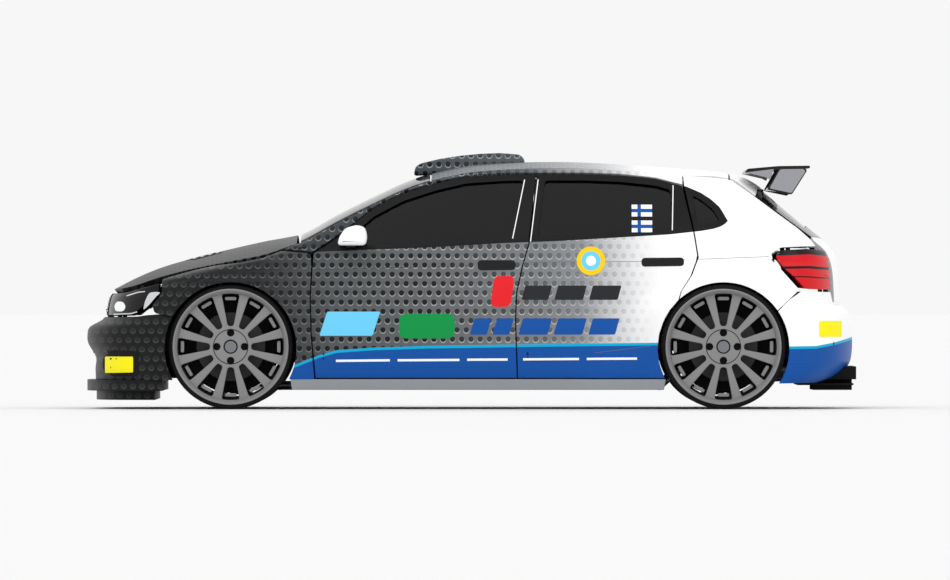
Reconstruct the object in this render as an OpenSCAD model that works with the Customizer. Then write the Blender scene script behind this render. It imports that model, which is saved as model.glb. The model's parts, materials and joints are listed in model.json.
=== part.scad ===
// Five-door rally hatchback: body panels, doors, glass, cabin, running gear.
// X runs to the rear, Y to the car's right, Z up; the origin is on the ground, mid-length.

/* [Overall] */
// Front axle to rear axle
wheelbase = 2553; // [2150:1:3100]
// Foremost point of the front bumper to the front axle
front_overhang = 760; // [640:1:920]
// Rear axle to the rearmost point of the diffuser
rear_overhang = 697; // [590:1:840]
// Width over the flared wheel arches
body_width = 1820; // [1520:1:2190]
// Ground to the top of the roof skin
roof_height = 1287; // [1080:1:1550]

/* [Wheels] */
// Outer radius of the tyre
tyre_r = 323; // [270:1:335]
// Width of the tyre
tyre_width = 225; // [190:1:245]
// Radius of the rim's outer edge
rim_r = 300; // [225:1:310]
// Space between the tyre and the edge of the wheel arch
arch_gap = 19; // [14:1:60]
// Number of spokes
spokes = 12; // [5:1:14]
// How far the tyre's outer face sits inside the flares
wheel_inset = 18; // [12:1:60]
// Radius of the wheel spindles
spindle_r = 30; // [20:1:38]
// Radius of the brake discs
disc_r = 178; // [140:1:190]

/* [Panels] */
// Thickness of a door below its window
door_t = 50; // [38:1:60]
// Thickness of a fixed outer panel
skin_t = 10; // [6:1:14]
// Gap around a door or lid
shut_gap = 8; // [6:0.5:12]
// Thickness of the window glass
glass_t = 5; // [3:0.5:8]
// Width of the frame round a door's glass
frame_w = 36; // [26:1:50]
// Radius of the roll cage tubes
cage_r = 20; // [15:1:25]
// Radius of a door or lid hinge pin
pin_r = 8; // [5:0.5:10]

/* [Hidden] */
$fn = 48;

black = [0.06, 0.06, 0.065];
grey = [0.55, 0.56, 0.58];
white = [0.93, 0.93, 0.93];
glass = [0.05, 0.05, 0.06];
steel = [0.4, 0.41, 0.43];

// ---- Frame of the car -------------------------------------------------------------------------
car_length = front_overhang + wheelbase + rear_overhang;
nose_x = -car_length / 2;
tail_x = car_length / 2;
front_axle_x = nose_x + front_overhang;
rear_axle_x = front_axle_x + wheelbase;
arch_r = tyre_r + arch_gap;
arch_drop = 8; // the arch's centre sits this far below the wheel's
track_y = body_width / 2 - wheel_inset - tyre_width / 2;
running_fit = 0.05;
seat_gap = 0.3;

// The body tables below are drawn for this base size and stretched to the driving dimensions.
BASE_X = [-2005, -1245, 1308, 2005];
REAL_X = [nose_x, front_axle_x, rear_axle_x, tail_x];
base_to_real = [for (i = [0:3]) [BASE_X[i], REAL_X[i]]];
real_to_base = [for (i = [0:3]) [REAL_X[i], BASE_X[i]]];
kz = roof_height / 1287;
ky = body_width / 1820;
function X(x) = lookup(x, base_to_real);
function bx(x) = lookup(x, real_to_base);
function P(x, z) = [X(x), z * kz];

// ---- Curves -----------------------------------------------------------------------------------
function lerp(a, b, t) = a + (b - a) * t;
function unit(t) = min(1, max(0, t));
function ease(t) = let(u = unit(t)) u * u * (3 - 2 * u);
function row_of(t, x, i = 0) = i >= len(t) - 2 || x < t[i + 1][0] ? i : row_of(t, x, i + 1);
function secant(t, i, c) = (t[i + 1][c] - t[i][c]) / (t[i + 1][0] - t[i][0]);
function slope(t, i, c) =
    i == 0 ? secant(t, 0, c)
    : i == len(t) - 1 ? secant(t, i - 1, c)
    : (t[i + 1][c] - t[i - 1][c]) / (t[i + 1][0] - t[i - 1][0]);
// Column c of a table at x, as a smooth curve through the rows
function col(t, x, c) =
    let(
        i = row_of(t, x),
        h = t[i + 1][0] - t[i][0],
        u = unit((x - t[i][0]) / h),
        a = t[i][c], b = t[i + 1][c],
        ma = slope(t, i, c) * h, mb = slope(t, i + 1, c) * h
    )
    a + u * (ma + u * (3 * (b - a) - 2 * ma - mb + u * (2 * (a - b) + ma + mb)));
function line(p) = function(t) let(n = len(p) - 1, k = min(floor(t * n), n - 1)) lerp(p[k], p[k + 1], t * n - k);
function path(p) = function(t)
    let(
        n = len(p) - 1, k = min(floor(t * n), n - 1), u = t * n - k,
        a = p[max(k - 1, 0)], b = p[k], c = p[k + 1], d = p[min(k + 2, n)]
    )
    b + u / 2 * ((c - a) + u * ((2 * a - 5 * b + 4 * c - d) + u * (3 * b - a - 3 * c + d)));
// Arch edge round an axle between two angles, 0 to the rear and 90 up
function arch(axle_x, a0, a1, r = arch_r) = function(t) let(a = lerp(a0, a1, t))
    [axle_x + r * cos(a), tyre_r - arch_drop + r * sin(a)];
// Patch between four edges: bottom and top run with s, left and right with t
function coons(B, T, L, R) = function(s, t)
    (1 - t) * B(s) + t * T(s) + (1 - s) * L(t) + s * R(t)
    - (1 - s) * (1 - t) * B(0) - s * (1 - t) * B(1) - (1 - s) * t * T(0) - s * t * T(1);

// ---- Body surface -----------------------------------------------------------------------------
// Cross-sections along the car. Above the belt the side leans in to the roof edge.
TOP = 1; EDGE_Z = 2; EDGE_Y = 3; BELT_Z = 4; BELT_Y = 5; MID_Y = 6; LOW_Y = 7; ROUND = 8;
SECTIONS = [
    // x, centre z, edge z, edge y, belt z, belt y, mid y, low y, roundness above the belt
    [-1870, 617, 614, 560, 610, 850, 872, 850, 2],
    [-1752, 679, 638, 655, 614, 852, 872, 850, 2],
    [-1617, 735, 682, 698, 624, 855, 872, 850, 2],
    [-1464, 780, 722, 708, 658, 855, 872, 848, 2],
    [-1245, 834, 766, 714, 702, 850, 868, 845, 2],
    [-1071, 873, 800, 718, 738, 840, 862, 840, 2],
    [-960, 893, 838, 720, 768, 826, 859, 838, 1.7],
    [-870, 915, 872, 712, 798, 815, 857, 835, 1.35],
    [-697, 1011, 966, 672, 822, 806, 856, 832, 1.15],
    [-504, 1107, 1064, 634, 830, 803, 856, 830, 1.12],
    [-312, 1194, 1150, 608, 836, 801, 856, 830, 1.12],
    [-150, 1241, 1198, 597, 842, 800, 856, 830, 1.12],
    [34, 1273, 1232, 590, 852, 800, 857, 830, 1.12],
    [458, 1287, 1250, 586, 871, 800, 858, 832, 1.12],
    [836, 1270, 1236, 580, 893, 798, 858, 834, 1.12],
    [1075, 1252, 1216, 572, 907, 796, 857, 834, 1.12],
    [1350, 1226, 1198, 562, 916, 792, 856, 835, 1.12],
    [1475, 1180, 1110, 582, 908, 790, 856, 836, 1.12],
    [1625, 1060, 996, 604, 895, 786, 856, 838, 1.12],
    [1772, 935, 888, 626, 880, 782, 856, 840, 1.12],
    [1900, 832, 796, 650, 788, 780, 856, 840, 1.12],
];
LOW_Z = 130;
MID_Z = 480;
// Centre profiles of the nose and the tail: z, x
NOSE = [[46, -1940], [90, -1955], [205, -1963], [266, -1960], [341, -2001], [393, -2004],
        [425, -1992], [468, -1920], [526, -1906], [583, -1892], [617, -1868]];
TAIL = [[124, 1780], [159, 1890], [207, 1956], [255, 1984], [374, 1992], [458, 1982], [505, 1968],
        [540, 1926], [560, 1923], [732, 1917], [816, 1893], [886, 1825]];
NOSE_FROM = -1450; // the plan rounds off ahead of here
TAIL_FROM = 1550; // and behind here
PLAN_POWER = 3;
FLARE = 42; // how far the arches stand proud of the doors

function plan_round(u) = pow(max(0, 1 - pow(unit(u), PLAN_POWER)), 1 / PLAN_POWER);
function end_round(x, z) =
    x < NOSE_FROM ? plan_round((NOSE_FROM - x) / (NOSE_FROM - col(NOSE, z, 1)))
    : x > TAIL_FROM ? plan_round((x - TAIL_FROM) / (col(TAIL, z, 1) - TAIL_FROM))
    : 1;
// The rear flare starts at a line that climbs from the sill to the shoulder
function rear_flare_start(z) = lookup(z, [[100, 540], [175, 577], [355, 640], [480, 730], [590, 870], [670, 1010], [725, 1170], [900, 1600]]);
function flare(x, z) =
    let(
        front = ease((560 - abs(x + 1245)) / 230) * ease((712 - z) / 50),
        rear = ease((x - rear_flare_start(z)) / 210) * ease((775 - z) / 50) * ease((1900 - x) / 300)
    )
    FLARE * max(front, rear);
function lower_y(x, z) =
    let(zb = col(SECTIONS, x, BELT_Z))
    col(SECTIONS, x, LOW_Y) * (z - MID_Z) * (z - zb) / ((LOW_Z - MID_Z) * (LOW_Z - zb))
    + col(SECTIONS, x, MID_Y) * (z - LOW_Z) * (z - zb) / ((MID_Z - LOW_Z) * (MID_Z - zb))
    + col(SECTIONS, x, BELT_Y) * (z - LOW_Z) * (z - MID_Z) / ((zb - LOW_Z) * (zb - MID_Z))
    + flare(x, z);
function base_side_y(x, z) =
    let(zb = col(SECTIONS, x, BELT_Z), ze = col(SECTIONS, x, EDGE_Z), ye = col(SECTIONS, x, EDGE_Y))
    z <= zb ? lower_y(x, z) * end_round(x, z)
    : let(v = unit((z - zb) / (ze - zb)), p = col(SECTIONS, x, ROUND), yb = lower_y(x, zb) * end_round(x, zb))
      ye + (yb - ye) * pow(max(0, 1 - pow(v, p)), 1 / p);
// Half width of the body at a real x and z
function side_y(x, z) = ky * base_side_y(bx(x), z / kz);
function on_side(g) = function(s, t) let(q = g(s, t)) [q.x, side_y(q.x, q.y), q.y];
// Point on the bonnet, screen or roof: a share f of the half width at a base x
CROWN = 2.4;
function on_top(x, f, g = 0) =
    let(
        ye = col(SECTIONS, x, EDGE_Y) * ky - g, ze = col(SECTIONS, x, EDGE_Z), zc = col(SECTIONS, x, TOP)
    )
    [X(x), f * ye, kz * (zc - (zc - ze) * pow(abs(f) * ye / (ye + g), CROWN))];
// Points on the rounded ends at a plan angle a from straight ahead, and height z of the base
function on_end(from, profile, a, z) =
    let(
        x = from + (col(profile, z, 1) - from) * pow(max(0, cos(a)), 2 / PLAN_POWER),
        y = lower_y(x, z) * pow(abs(sin(a)), 2 / PLAN_POWER) * sign(a)
    )
    [X(x), y * ky, z * kz];
// Plan angle at which the end reaches a base x
function end_angle(from, profile, x, z) =
    acos(pow(unit((x - from) / (col(profile, z, 1) - from)), PLAN_POWER / 2));

// ---- Sheets -----------------------------------------------------------------------------------
EPS = 0.02;
function outward(f, s, t) =
    let(
        fs = f(min(1, s + EPS), t) - f(max(0, s - EPS), t),
        ft = f(s, min(1, t + EPS)) - f(s, max(0, t - EPS)),
        n = cross(ft, fs)
    )
    n / norm(n);
function cell(a, b, c, d) = [[a, b, c], [a, c, d]];
// Closed solid under the patch f, from depth near to depth far below it. The far face is
// drawn in by the shares inset_s and inset_t at each edge.
module sheet(f, ns, nt, near, far, inset_s = 0, inset_t = 0) {
    m = nt + 1;
    w = (ns + 1) * m;
    outer = [for (i = [0:ns], j = [0:nt]) let(s = i / ns, t = j / nt) f(s, t) - near * outward(f, s, t)];
    inner = [
        for (i = [0:ns], j = [0:nt])
            let(s = lerp(inset_s, 1 - inset_s, i / ns), t = lerp(inset_t, 1 - inset_t, j / nt))
                f(s, t) - far * outward(f, s, t)
    ];
    function at(i, j) = i * m + j;
    skins = [
        for (i = [0:ns - 1], j = [0:nt - 1]) each concat(
            cell(at(i, j), at(i + 1, j), at(i + 1, j + 1), at(i, j + 1)),
            cell(w + at(i, j + 1), w + at(i + 1, j + 1), w + at(i + 1, j), w + at(i, j))
        )
    ];
    rims = [
        for (i = [0:ns - 1]) each concat(
            cell(at(i + 1, 0), at(i, 0), w + at(i, 0), w + at(i + 1, 0)),
            cell(at(i, nt), at(i + 1, nt), w + at(i + 1, nt), w + at(i, nt))
        ),
        for (j = [0:nt - 1]) each concat(
            cell(at(0, j), at(0, j + 1), w + at(0, j + 1), w + at(0, j)),
            cell(at(ns, j + 1), at(ns, j), w + at(ns, j), w + at(ns, j + 1))
        )
    ];
    polyhedron(points = concat(outer, inner), faces = concat(skins, rims));
}
module both_sides() {
    children();
    mirror([0, 1, 0]) children();
}
// Side 1 is the right, -1 the left
module on(side) {
    mirror([0, side < 0 ? 1 : 0, 0]) children();
}
// Prism through the car's side over an outline of [x, z] points
module through_side(points, y0 = 100, y1 = 1200) {
    translate([0, y1, 0]) rotate([90, 0, 0]) linear_extrude(y1 - y0) polygon(points);
}
module tube(a, b, r) {
    d = b - a;
    translate(a) rotate([0, acos(d.z / norm(d)), atan2(d.y, d.x)]) cylinder(r = r, h = norm(d));
}
module run(points, r) {
    for (i = [0:len(points) - 2]) tube(points[i], points[i + 1], r);
    for (i = [1:len(points) - 2]) translate(points[i]) sphere(r * 1.06);
}
module block(lo, hi) {
    translate(lo) cube(hi - lo);
}

// ---- Shut lines of the base size: x, z --------------------------------------------------------
FRONT_SHUT = [[-806, 150], [-817, 247], [-827, 391], [-832, 583], [-824, 737], [-818, 806]];
B_SHUT = [[241, 165], [234, 294], [231, 460], [236, 600], [268, 745], [302, 862]];
B_TOP = [342, 1222];
DOOR_TOP = [[-818, 806], [-697, 891], [-504, 1045], [-350, 1122], [-177, 1175], [-23, 1208], [168, 1220], [342, 1222]];
REAR_TOP = [[342, 1222], [598, 1222], [777, 1216], [956, 1198], [1100, 1160]];
REAR_SHUT = [[1089, 613], [1143, 697], [1177, 786], [1157, 912]];
FRONT_BELT = [[-824, 737], [-697, 812], [-504, 828], [-216, 838], [34, 852], [302, 862]];
REAR_BELT = [[302, 862], [560, 876], [836, 892], [1028, 905], [1157, 912]];
sill_z = 158;
g = shut_gap / 2;
rear_meet = 133; // arch angles where the door and the bumpers end
door_foot = 207;
bumper_meet = 35;
fender_meet = 152;
fender_foot = -28;
function pts(list, dx = 0, dz = 0) = [for (p = list) P(p.x, p.y) + [dx, dz]];
function last(list) = list[len(list) - 1];

// Patch split along the belt so its crease stays sharp; k is the share of t below the belt
function split(lower, upper, k) = function(s, t) t < k ? lower(s, t / k) : upper(s, (t - k) / (1 - k));
function front_door_map(e) =
    let(
        belt = path([for (i = [0:5]) P(FRONT_BELT[i].x, FRONT_BELT[i].y) + [i == 0 ? e : i == 5 ? -e : 0, 0]]),
        foot = [P(-806, sill_z) + [e, e], P(241, sill_z) + [-e, e]],
        top = [for (i = [0:7]) P(DOOR_TOP[i].x, DOOR_TOP[i].y) + [i == 0 ? e : i == 7 ? -e : e / 2, i == 0 ? 0 : -e]]
    )
    split(
        coons(line(foot), belt,
            line([foot[0], each pts([FRONT_SHUT[2], FRONT_SHUT[3]], e), belt(0)]),
            line([foot[1], each pts([B_SHUT[2], B_SHUT[3], B_SHUT[4]], -e), belt(1)])),
        coons(belt, path(top), line([belt(0), top[0]]), line([belt(1), last(top)])),
        0.6);
function rear_door_map(e) =
    let(
        edge = arch(rear_axle_x, door_foot, rear_meet),
        foot = [P(241, sill_z) + [e, e], edge(0)],
        belt = path([for (i = [0:4]) P(REAR_BELT[i].x, REAR_BELT[i].y) + [i == 0 ? e : i == 4 ? -e : 0, 0]]),
        top = [for (i = [0:4]) P(REAR_TOP[i].x, REAR_TOP[i].y) + [i == 0 ? e : i == 4 ? -e : 0, -e]]
    )
    split(
        coons(line(foot), belt,
            line([foot[0], each pts([B_SHUT[2], B_SHUT[3], B_SHUT[4]], e), belt(0)]),
            line([edge(0), edge(0.35), edge(0.7), edge(1), each pts([REAR_SHUT[0], REAR_SHUT[1], REAR_SHUT[2]], -e), belt(1)])),
        coons(belt, path(top), line([belt(0), top[0]]), line([belt(1), last(top)])),
        0.6);

FRONT_WINDOW = [[-672, 852], [-504, 846], [-216, 854], [34, 868], [205, 880], [272, 1186],
    [168, 1184], [-23, 1171], [-177, 1136], [-350, 1080], [-504, 999]];
REAR_WINDOW = [[345, 886], [1030, 922], [1036, 1138], [956, 1160], [777, 1179], [598, 1186], [384, 1186]];
QUARTER_WINDOW = [[1186, 950], [1290, 976], [1256, 1034], [1192, 1086], [1150, 1108]];
// Window outline drawn in at the top by the change of the frame width
function window(list) = [for (p = list) P(p.x, p.y) - (p.y > 960 ? [0, frame_w - 36] : [0, 0])];

// ---- Hinges -----------------------------------------------------------------------------------
hinge_back = 60; // behind the door's front edge
hinge_in = 25; // inside the outer skin
hinge_lean = 3; // degrees inward going up
barrel_r = pin_r + 3;
HINGE_Z = [300, 640];
front_hinge = [P(-827, 0).x + hinge_back, side_y(P(-770, 0).x, 470 * kz) - hinge_in];
rear_hinge = [P(233, 0).x + hinge_back, side_y(P(290, 0).x, 470 * kz) - hinge_in];
// Frame of a door hinge: its axis is z, the origin at the height of the middle of the door
module door_axis(h) {
    translate([h.x, h.y, 470 * kz]) rotate([hinge_lean, 0, 0]) children();
}
module door_hinge_cuts(h) {
    door_axis(h) for (z = HINGE_Z) translate([0, 0, z * kz - 470 * kz]) {
        translate([-110, -80, -26]) cube([134, 80 + barrel_r + 5, 52]);
        translate([0, 0, -50]) cylinder(r = pin_r + running_fit, h = 100);
    }
}
module door_hinge_fixed(h, reach) {
    door_axis(h) for (z = HINGE_Z) translate([0, 0, z * kz - 470 * kz]) {
        difference() {
            union() {
                translate([0, 0, -20]) cylinder(r = barrel_r, h = 40);
                translate([-9, -reach, -20]) cube([18, reach, 40]);
            }
        }
        translate([0, 0, -44]) cylinder(r = pin_r, h = 88);
    }
}

// ---- Doors ------------------------------------------------------------------------------------
module front_door_body() {
    difference() {
        sheet(on_side(front_door_map(g)), 10, 10, 0, door_t, 0.012, 0.008);
        through_side(window(FRONT_WINDOW), 500);
        door_hinge_cuts(front_hinge);
    }
}
module rear_door_body() {
    difference() {
        sheet(on_side(rear_door_map(g)), 9, 10, 0, door_t, 0.02, 0.01);
        through_side(window(REAR_WINDOW), 500);
        door_hinge_cuts(rear_hinge);
    }
}
glass_in = 12;
module pane(map, list, n) {
    intersection() {
        sheet(on_side(function(s, t) map(s, 0.57 + 0.43 * t)), n, 5, glass_in, glass_in + glass_t);
        through_side(window(list), 300);
    }
}
module front_glass() { pane(front_door_map(g), FRONT_WINDOW, 10); }
module rear_glass() { pane(rear_door_map(g), REAR_WINDOW, 8); }
module mirror_body() {
    x = P(-640, 0).x;
    y = side_y(x, 860 * kz) - 10;
    translate([x, y, 850 * kz]) rotate([0, 0, 0]) {
        translate([20, 95, 46]) scale(1) rotate([90, 0, 0]) linear_extrude(150, center = true)
            polygon([[-72, -48], [-62, -4], [-30, 42], [30, 58], [72, 46], [84, 0], [76, -48]]);
        translate([-10, 0, -14]) cube([50, 60, 26]);
    }
}
module front_door_left() { color(white) on(-1) front_door_body(); }
module front_door_right() { color(white) on(1) front_door_body(); }
module rear_door_left() { color(white) on(-1) rear_door_body(); }
module rear_door_right() { color(white) on(1) rear_door_body(); }
module front_door_glass_left() { color(glass) on(-1) front_glass(); }
module front_door_glass_right() { color(glass) on(1) front_glass(); }
module rear_door_glass_left() { color(glass) on(-1) rear_glass(); }
module rear_door_glass_right() { color(glass) on(1) rear_glass(); }
module mirror_fit() { difference() { mirror_body(); sheet_cut(); } }
module mirror_left() { color(white) on(-1) mirror_fit(); }
module mirror_right() { color(white) on(1) mirror_fit(); }
// The door's own solid, used to seat the mirror against its skin
module sheet_cut() { sheet(on_side(front_door_map(g)), 10, 10, 0, door_t, 0.012, 0.008); }

// ---- Fixed outer panels -----------------------------------------------------------------------
rail_t = 34;
module roof_rails() {
    // A-pillars and cantrails, from the wing to the rear door's upper corner
    low = pts([[-822, 812], [-697, 893], [-504, 1047], [-350, 1124], [-177, 1177], [-23, 1210], [168, 1223],
        [342, 1224], [598, 1224], [777, 1218], [956, 1200], [1100, 1164]], -3, g + 4);
    high = [for (x = [-968, -830, -650, -500, -350, -200, 0, 200, 400, 600, 800, 960, 1100])
        P(x, col(SECTIONS, x, EDGE_Z) - 1)];
    color(white) both_sides() sheet(on_side(coons(path(low), path(high),
        line([low[0], high[0]]), line([last(low), last(high)]))), 22, 2, 0, rail_t, 0, 0.2);
}
module roof_panel() {
    color(white) {
        sheet(function(s, t) on_top(lerp(-206, GATE_FRONT - shut_gap, s), 1 - 2 * t, 4), 16, 10, 0, 12, 0, 0.008);
        // rear header over the tailgate hinges
        block([P(1300, 0).x, -480 * ky, 1108 * kz], [P(1345, 0).x, 480 * ky, 1138 * kz]);
    }
}
module windshield() {
    color(glass) sheet(function(s, t) on_top(lerp(-884, -214, s), 1 - 2 * t, 7.5), 9, 10, 0, glass_t);
}
HOOD_LINE = [[-1600, 678], [-1512, 704], [-1424, 728], [-1331, 748], [-1200, 764], [-1085, 786], [-985, 824]];
function fender_map() =
    let(
        edge = arch(front_axle_x, fender_meet, fender_foot),
        start = edge(0), end = edge(1),
        top = concat(pts(HOOD_LINE, 0, -g), [P(-828, 808) + [-g, 0]], pts([[-824, 737], [-832, 583], [-827, 391], [-817, 260]], -g),
            [[P(-808, 0).x - g, end.y]])
    )
    coons(function(s) edge(s), line(top), line([start, P(-1640, 498), P(-1652, 535), P(-1602, 600), top[0]]),
        line([end, last(top)]));
module front_fenders() { color(white) both_sides() sheet(on_side(fender_map()), 22, 5, 0, skin_t - 2); }

// Quarter: door edge at the front, roof and tailgate edges above, lamp and bumper behind
function quarter_map() =
    let(
        edge = arch(rear_axle_x, rear_meet - 1.6, bumper_meet),
        start = edge(0), end = edge(1),
        front = concat([start], pts(REAR_SHUT, g + 2), [P(1104, 1160) + [g + 2, 0], P(1104, 1211)]),
        top = concat([last(front)], pts([[1230, 1204], [1345, 1193], [1470, 1107], [1600, 1010], [1700, 937], [1766, 878], [1792, 846]])),
        back = [end, P(1702, 618), P(1640, 686), P(1566, 768), P(1556, 806), P(1606, 838), P(1720, 844), last(top)]
    )
    coons(function(s) edge(s), line(top), line(front), line(back));
module quarter_sheet(far) { sheet(on_side(quarter_map()), 12, 14, 0, far, 0.02, 0.03); }
module rear_quarters() {
    color(white) both_sides() difference() {
        quarter_sheet(20);
        through_side(window(QUARTER_WINDOW), 400);
    }
}
module quarter_glasses() {
    color(glass) both_sides() intersection() {
        sheet(on_side(function(s, t) P(lerp(1130, 1310, s), lerp(930, 1130, t))), 3, 3, 8, 8 + glass_t);
        through_side(window(QUARTER_WINDOW), 300);
    }
}
module side_skirts() {
    top = sill_z - 7;
    color(grey) both_sides() {
        sheet(on_side(coons(
            line([[front_axle_x + arch_r * 0.93, 99], [rear_axle_x - arch_r * 0.9, 99]]),
            line([[front_axle_x + arch_r * 0.9, top], [rear_axle_x - arch_r * 0.9, top]]),
            line([[front_axle_x + arch_r * 0.93, 99], [front_axle_x + arch_r * 0.9, top]]),
            line([[rear_axle_x - arch_r * 0.9, 99], [rear_axle_x - arch_r * 0.9, top]]))), 14, 2, 0, 40);
    }
}

// Nose: patches over plan angle and height
function nose(q) = on_end(NOSE_FROM, NOSE, q.x, q.y);
function tail(q) = on_end(TAIL_FROM, TAIL, q.x, q.y);
function nose_angle(x, z) = end_angle(NOSE_FROM, NOSE, x, z);
function tail_angle(x, z) = end_angle(TAIL_FROM, TAIL, x, z);
function arch_base_x(dir, axle, z) =
    axle + dir * sqrt(max(1, pow(arch_r, 2) - pow(z * kz - tyre_r + arch_drop, 2)));
function bumper_end(z) = nose_angle(bx(arch_base_x(-1, front_axle_x, z)), z);
function tail_end(z) = tail_angle(bx(arch_base_x(1, rear_axle_x, z)), z);
FASCIA_Z = [[0, 477], [40, 477], [60, 478], [70, 488], [76, 490], [84.5, 474], [90, 470]];
module front_bumper() {
    color(black) sheet(function(s, t)
        let(side = 2 * s - 1, zt = lookup(abs(side) * 84.5, FASCIA_Z), z = lerp(150, zt, t),
            a = side * min(bumper_end(z), 90))
        nose([a, z]), 26, 8, 0, skin_t);
}
module grille() {
    color(black) sheet(function(s, t) nose([lerp(-20, 20, s), lerp(485, 606, t)]), 6, 3, 4, 16);
}
module headlights() {
    color(grey) both_sides() sheet(function(s, t)
        let(
            rear = lookup(t, [[0, 55.5], [0.4, 68.5], [0.75, 75], [1, 75.2]]),
            a = lerp(21.5, rear, s),
            zt = lookup(a, [[20, 606], [40, 612], [58, 630], [70, 648], [78.5, 666]]) - g - 5
        )
        nose([a, lerp(486, zt, t)]), 7, 4, 3, 30);
}
function plan_outline(from, reach, half, n = 16) = [
    for (i = [-n:n]) let(a = 90 * i / n)
        [X(from) + reach * pow(max(0, cos(a)), 2 / PLAN_POWER), ky * half * sign(i) * pow(abs(sin(a)), 2 / PLAN_POWER)]
];
module front_splitter() {
    color(black) {
        translate([0, 0, 94 * kz]) linear_extrude(56 * kz)
            polygon(plan_outline(-1600, nose_x - X(-1600), 850));
        translate([0, 0, 46 * kz]) linear_extrude(48 * kz)
            polygon(plan_outline(-1640, nose_x - X(-1640) + 48, 700));
    }
}
BUMPER_Z = [[0, 541], [32, 541], [37, 606], [72, 610], [80, 572], [88.3, 507], [90, 506]];
module rear_bumper() {
    color(black) difference() {
        sheet(function(s, t)
        let(side = 1 - 2 * s, zt = lookup(abs(side) * 88.3, BUMPER_Z), z = lerp(132, zt, t),
            a = side * min(tail_end(z), 89.5))
        tail([a, z]), 28, 8, 0, skin_t);
        block([P(1700, 0).x, -480 * ky, 100 * kz], [P(2100, 0).x, 480 * ky, 219 * kz]);
    }
}
module taillights() {
    color([0.7, 0.1, 0.1]) both_sides() mirror([0, 1, 0]) sheet(function(s, t)
        let(
            front = lookup(t, [[0, 71], [0.5, 85], [0.75, 88.6], [0.9, 88.9], [1, 86]]),
            a = lerp(38, front, s),
            z0 = lookup(a, [[34, 618], [56, 618], [72, 626]]),
            z1 = lookup(a, [[34, 822], [64, 834], [86, 826]])
        )
        tail([-a, lerp(z0, z1, t)]), 7, 4, 0, 20, 0.03, 0.04);
}
module rear_diffuser() {
    color(black) {
        translate([0, 0, 152 * kz]) linear_extrude(67 * kz) square_at(X(1860), X(2005), 480);
        for (y = [-360, -120, 120, 360]) translate([X(1780), ky * y - 5, 96]) cube([X(1985) - X(1780), 10, 152 * kz - 96]);
        translate([0, 0, 122 * kz]) linear_extrude(10) square_at(X(1700), X(1990), 520);
    }
}
module square_at(x0, x1, half) {
    polygon([[x0, -half * ky], [x1, -half * ky], [x1, half * ky], [x0, half * ky]]);
}
module roof_scoop() {
    color(white) difference() {
        translate([0, 170 * ky, 0]) rotate([90, 0, 0]) linear_extrude(340 * ky)
            polygon(pts([[-300, 1215], [-262, 1279], [-161, 1303], [-57, 1319], [47, 1329], [151, 1333], [255, 1325], [282, 1290], [282, 1270]]));
        block([P(-340, 0).x, -150 * ky, 1256 * kz], [P(-60, 0).x, 150 * ky, 1290 * kz]);
        sheet(function(s, t) on_top(lerp(-330, 340, s), 0.5 * (1 - 2 * t)), 20, 5, -0.6, 90);
    }
}

// ---- Floor, pillars and cabin -----------------------------------------------------------------
floor_z = 150;
floor_t = 16;
bay_half = 440; // half width between the inner wheel arches
module floor_pan() {
    top = floor_z + floor_t;
    color(black) {
        block([P(-868, 0).x, -760 * ky, floor_z], [P(960, 0).x, 760 * ky, top]);
        both_sides() {
            // sill boxes, chassis legs and rear rails
            block([P(-868, 0).x, 760 * ky, floor_z - 48], [P(930, 0).x, 794 * ky, top]);
            block([P(-1830, 0).x, 340 * ky, 240], [P(-868, 0).x, 400 * ky, 300]);
            block([P(-900, 0).x, 340 * ky, top], [P(-868, 0).x, 400 * ky, 240]);
            block([P(944, 0).x, 400 * ky, top], [P(960, 0).x, 460 * ky, 300]);
            block([P(944, 0).x, 400 * ky, 300], [P(1850, 0).x, 460 * ky, 360]);
        }
        block([P(944, 0).x, -400 * ky, top], [P(960, 0).x, 400 * ky, 360]);
        block([P(960, 0).x, -400 * ky, 344], [P(1800, 0).x, 400 * ky, 360]);
        block([P(-868, 0).x, -110, top], [P(944, 0).x, 110, 250]);
        block([P(-1870, 0).x, -560 * ky, 250], [P(-1830, 0).x, 560 * ky, 350]);
        block([P(1850, 0).x, -600 * ky, 290], [P(1890, 0).x, 600 * ky, 390]);
    }
}
module firewall() {
    color(black) {
        block([P(-900, 0).x, -bay_half * ky, 300], [P(-884, 0).x, bay_half * ky, 780 * kz]);
        // cowl under the screen and behind the bonnet hinges
        block([P(-900, 0).x, -690 * ky, 780 * kz], [P(-830, 0).x, 690 * ky, 800 * kz]);
        both_sides() block([P(-900, 0).x, 690 * ky, 780 * kz], [P(-848, 0).x, 785 * ky, 800 * kz]);
        both_sides() block([P(-896, 0).x, 745 * ky, 800 * kz], [P(-856, 0).x, 785 * ky, 838 * kz]);
        both_sides() {
            block([P(-884, 0).x, 0, 480 * kz], [P(-868, 0).x, 745 * ky, 780 * kz]);
            block([P(-868, 0).x - 16, 0, floor_z + floor_t], [P(-868, 0).x, 340 * ky, 480 * kz]);
            // toe walls behind the front wheels
            block([P(-868, 0).x, 400 * ky, floor_z + floor_t], [P(-852, 0).x, 745 * ky, 480 * kz]);
        }
    }
}
// Pillar posts inboard of the doors: hinge pillars and B-pillars
module door_posts() {
    color(black) both_sides() {
        block([P(-852, 0).x, 650 * ky, floor_z + floor_t], [P(-770, 0).x, 728 * ky, 780 * kz]);
        difference() {
            linear_post(P(225, 0).x, P(325, 0).x);
            sheet(on_side(front_door_map(g)), 10, 10, -5, 64);
        }
        door_hinge_fixed(front_hinge, front_hinge.y - 700 * ky);
        door_hinge_fixed(rear_hinge, rear_hinge.y - 690 * ky);
    }
}
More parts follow.
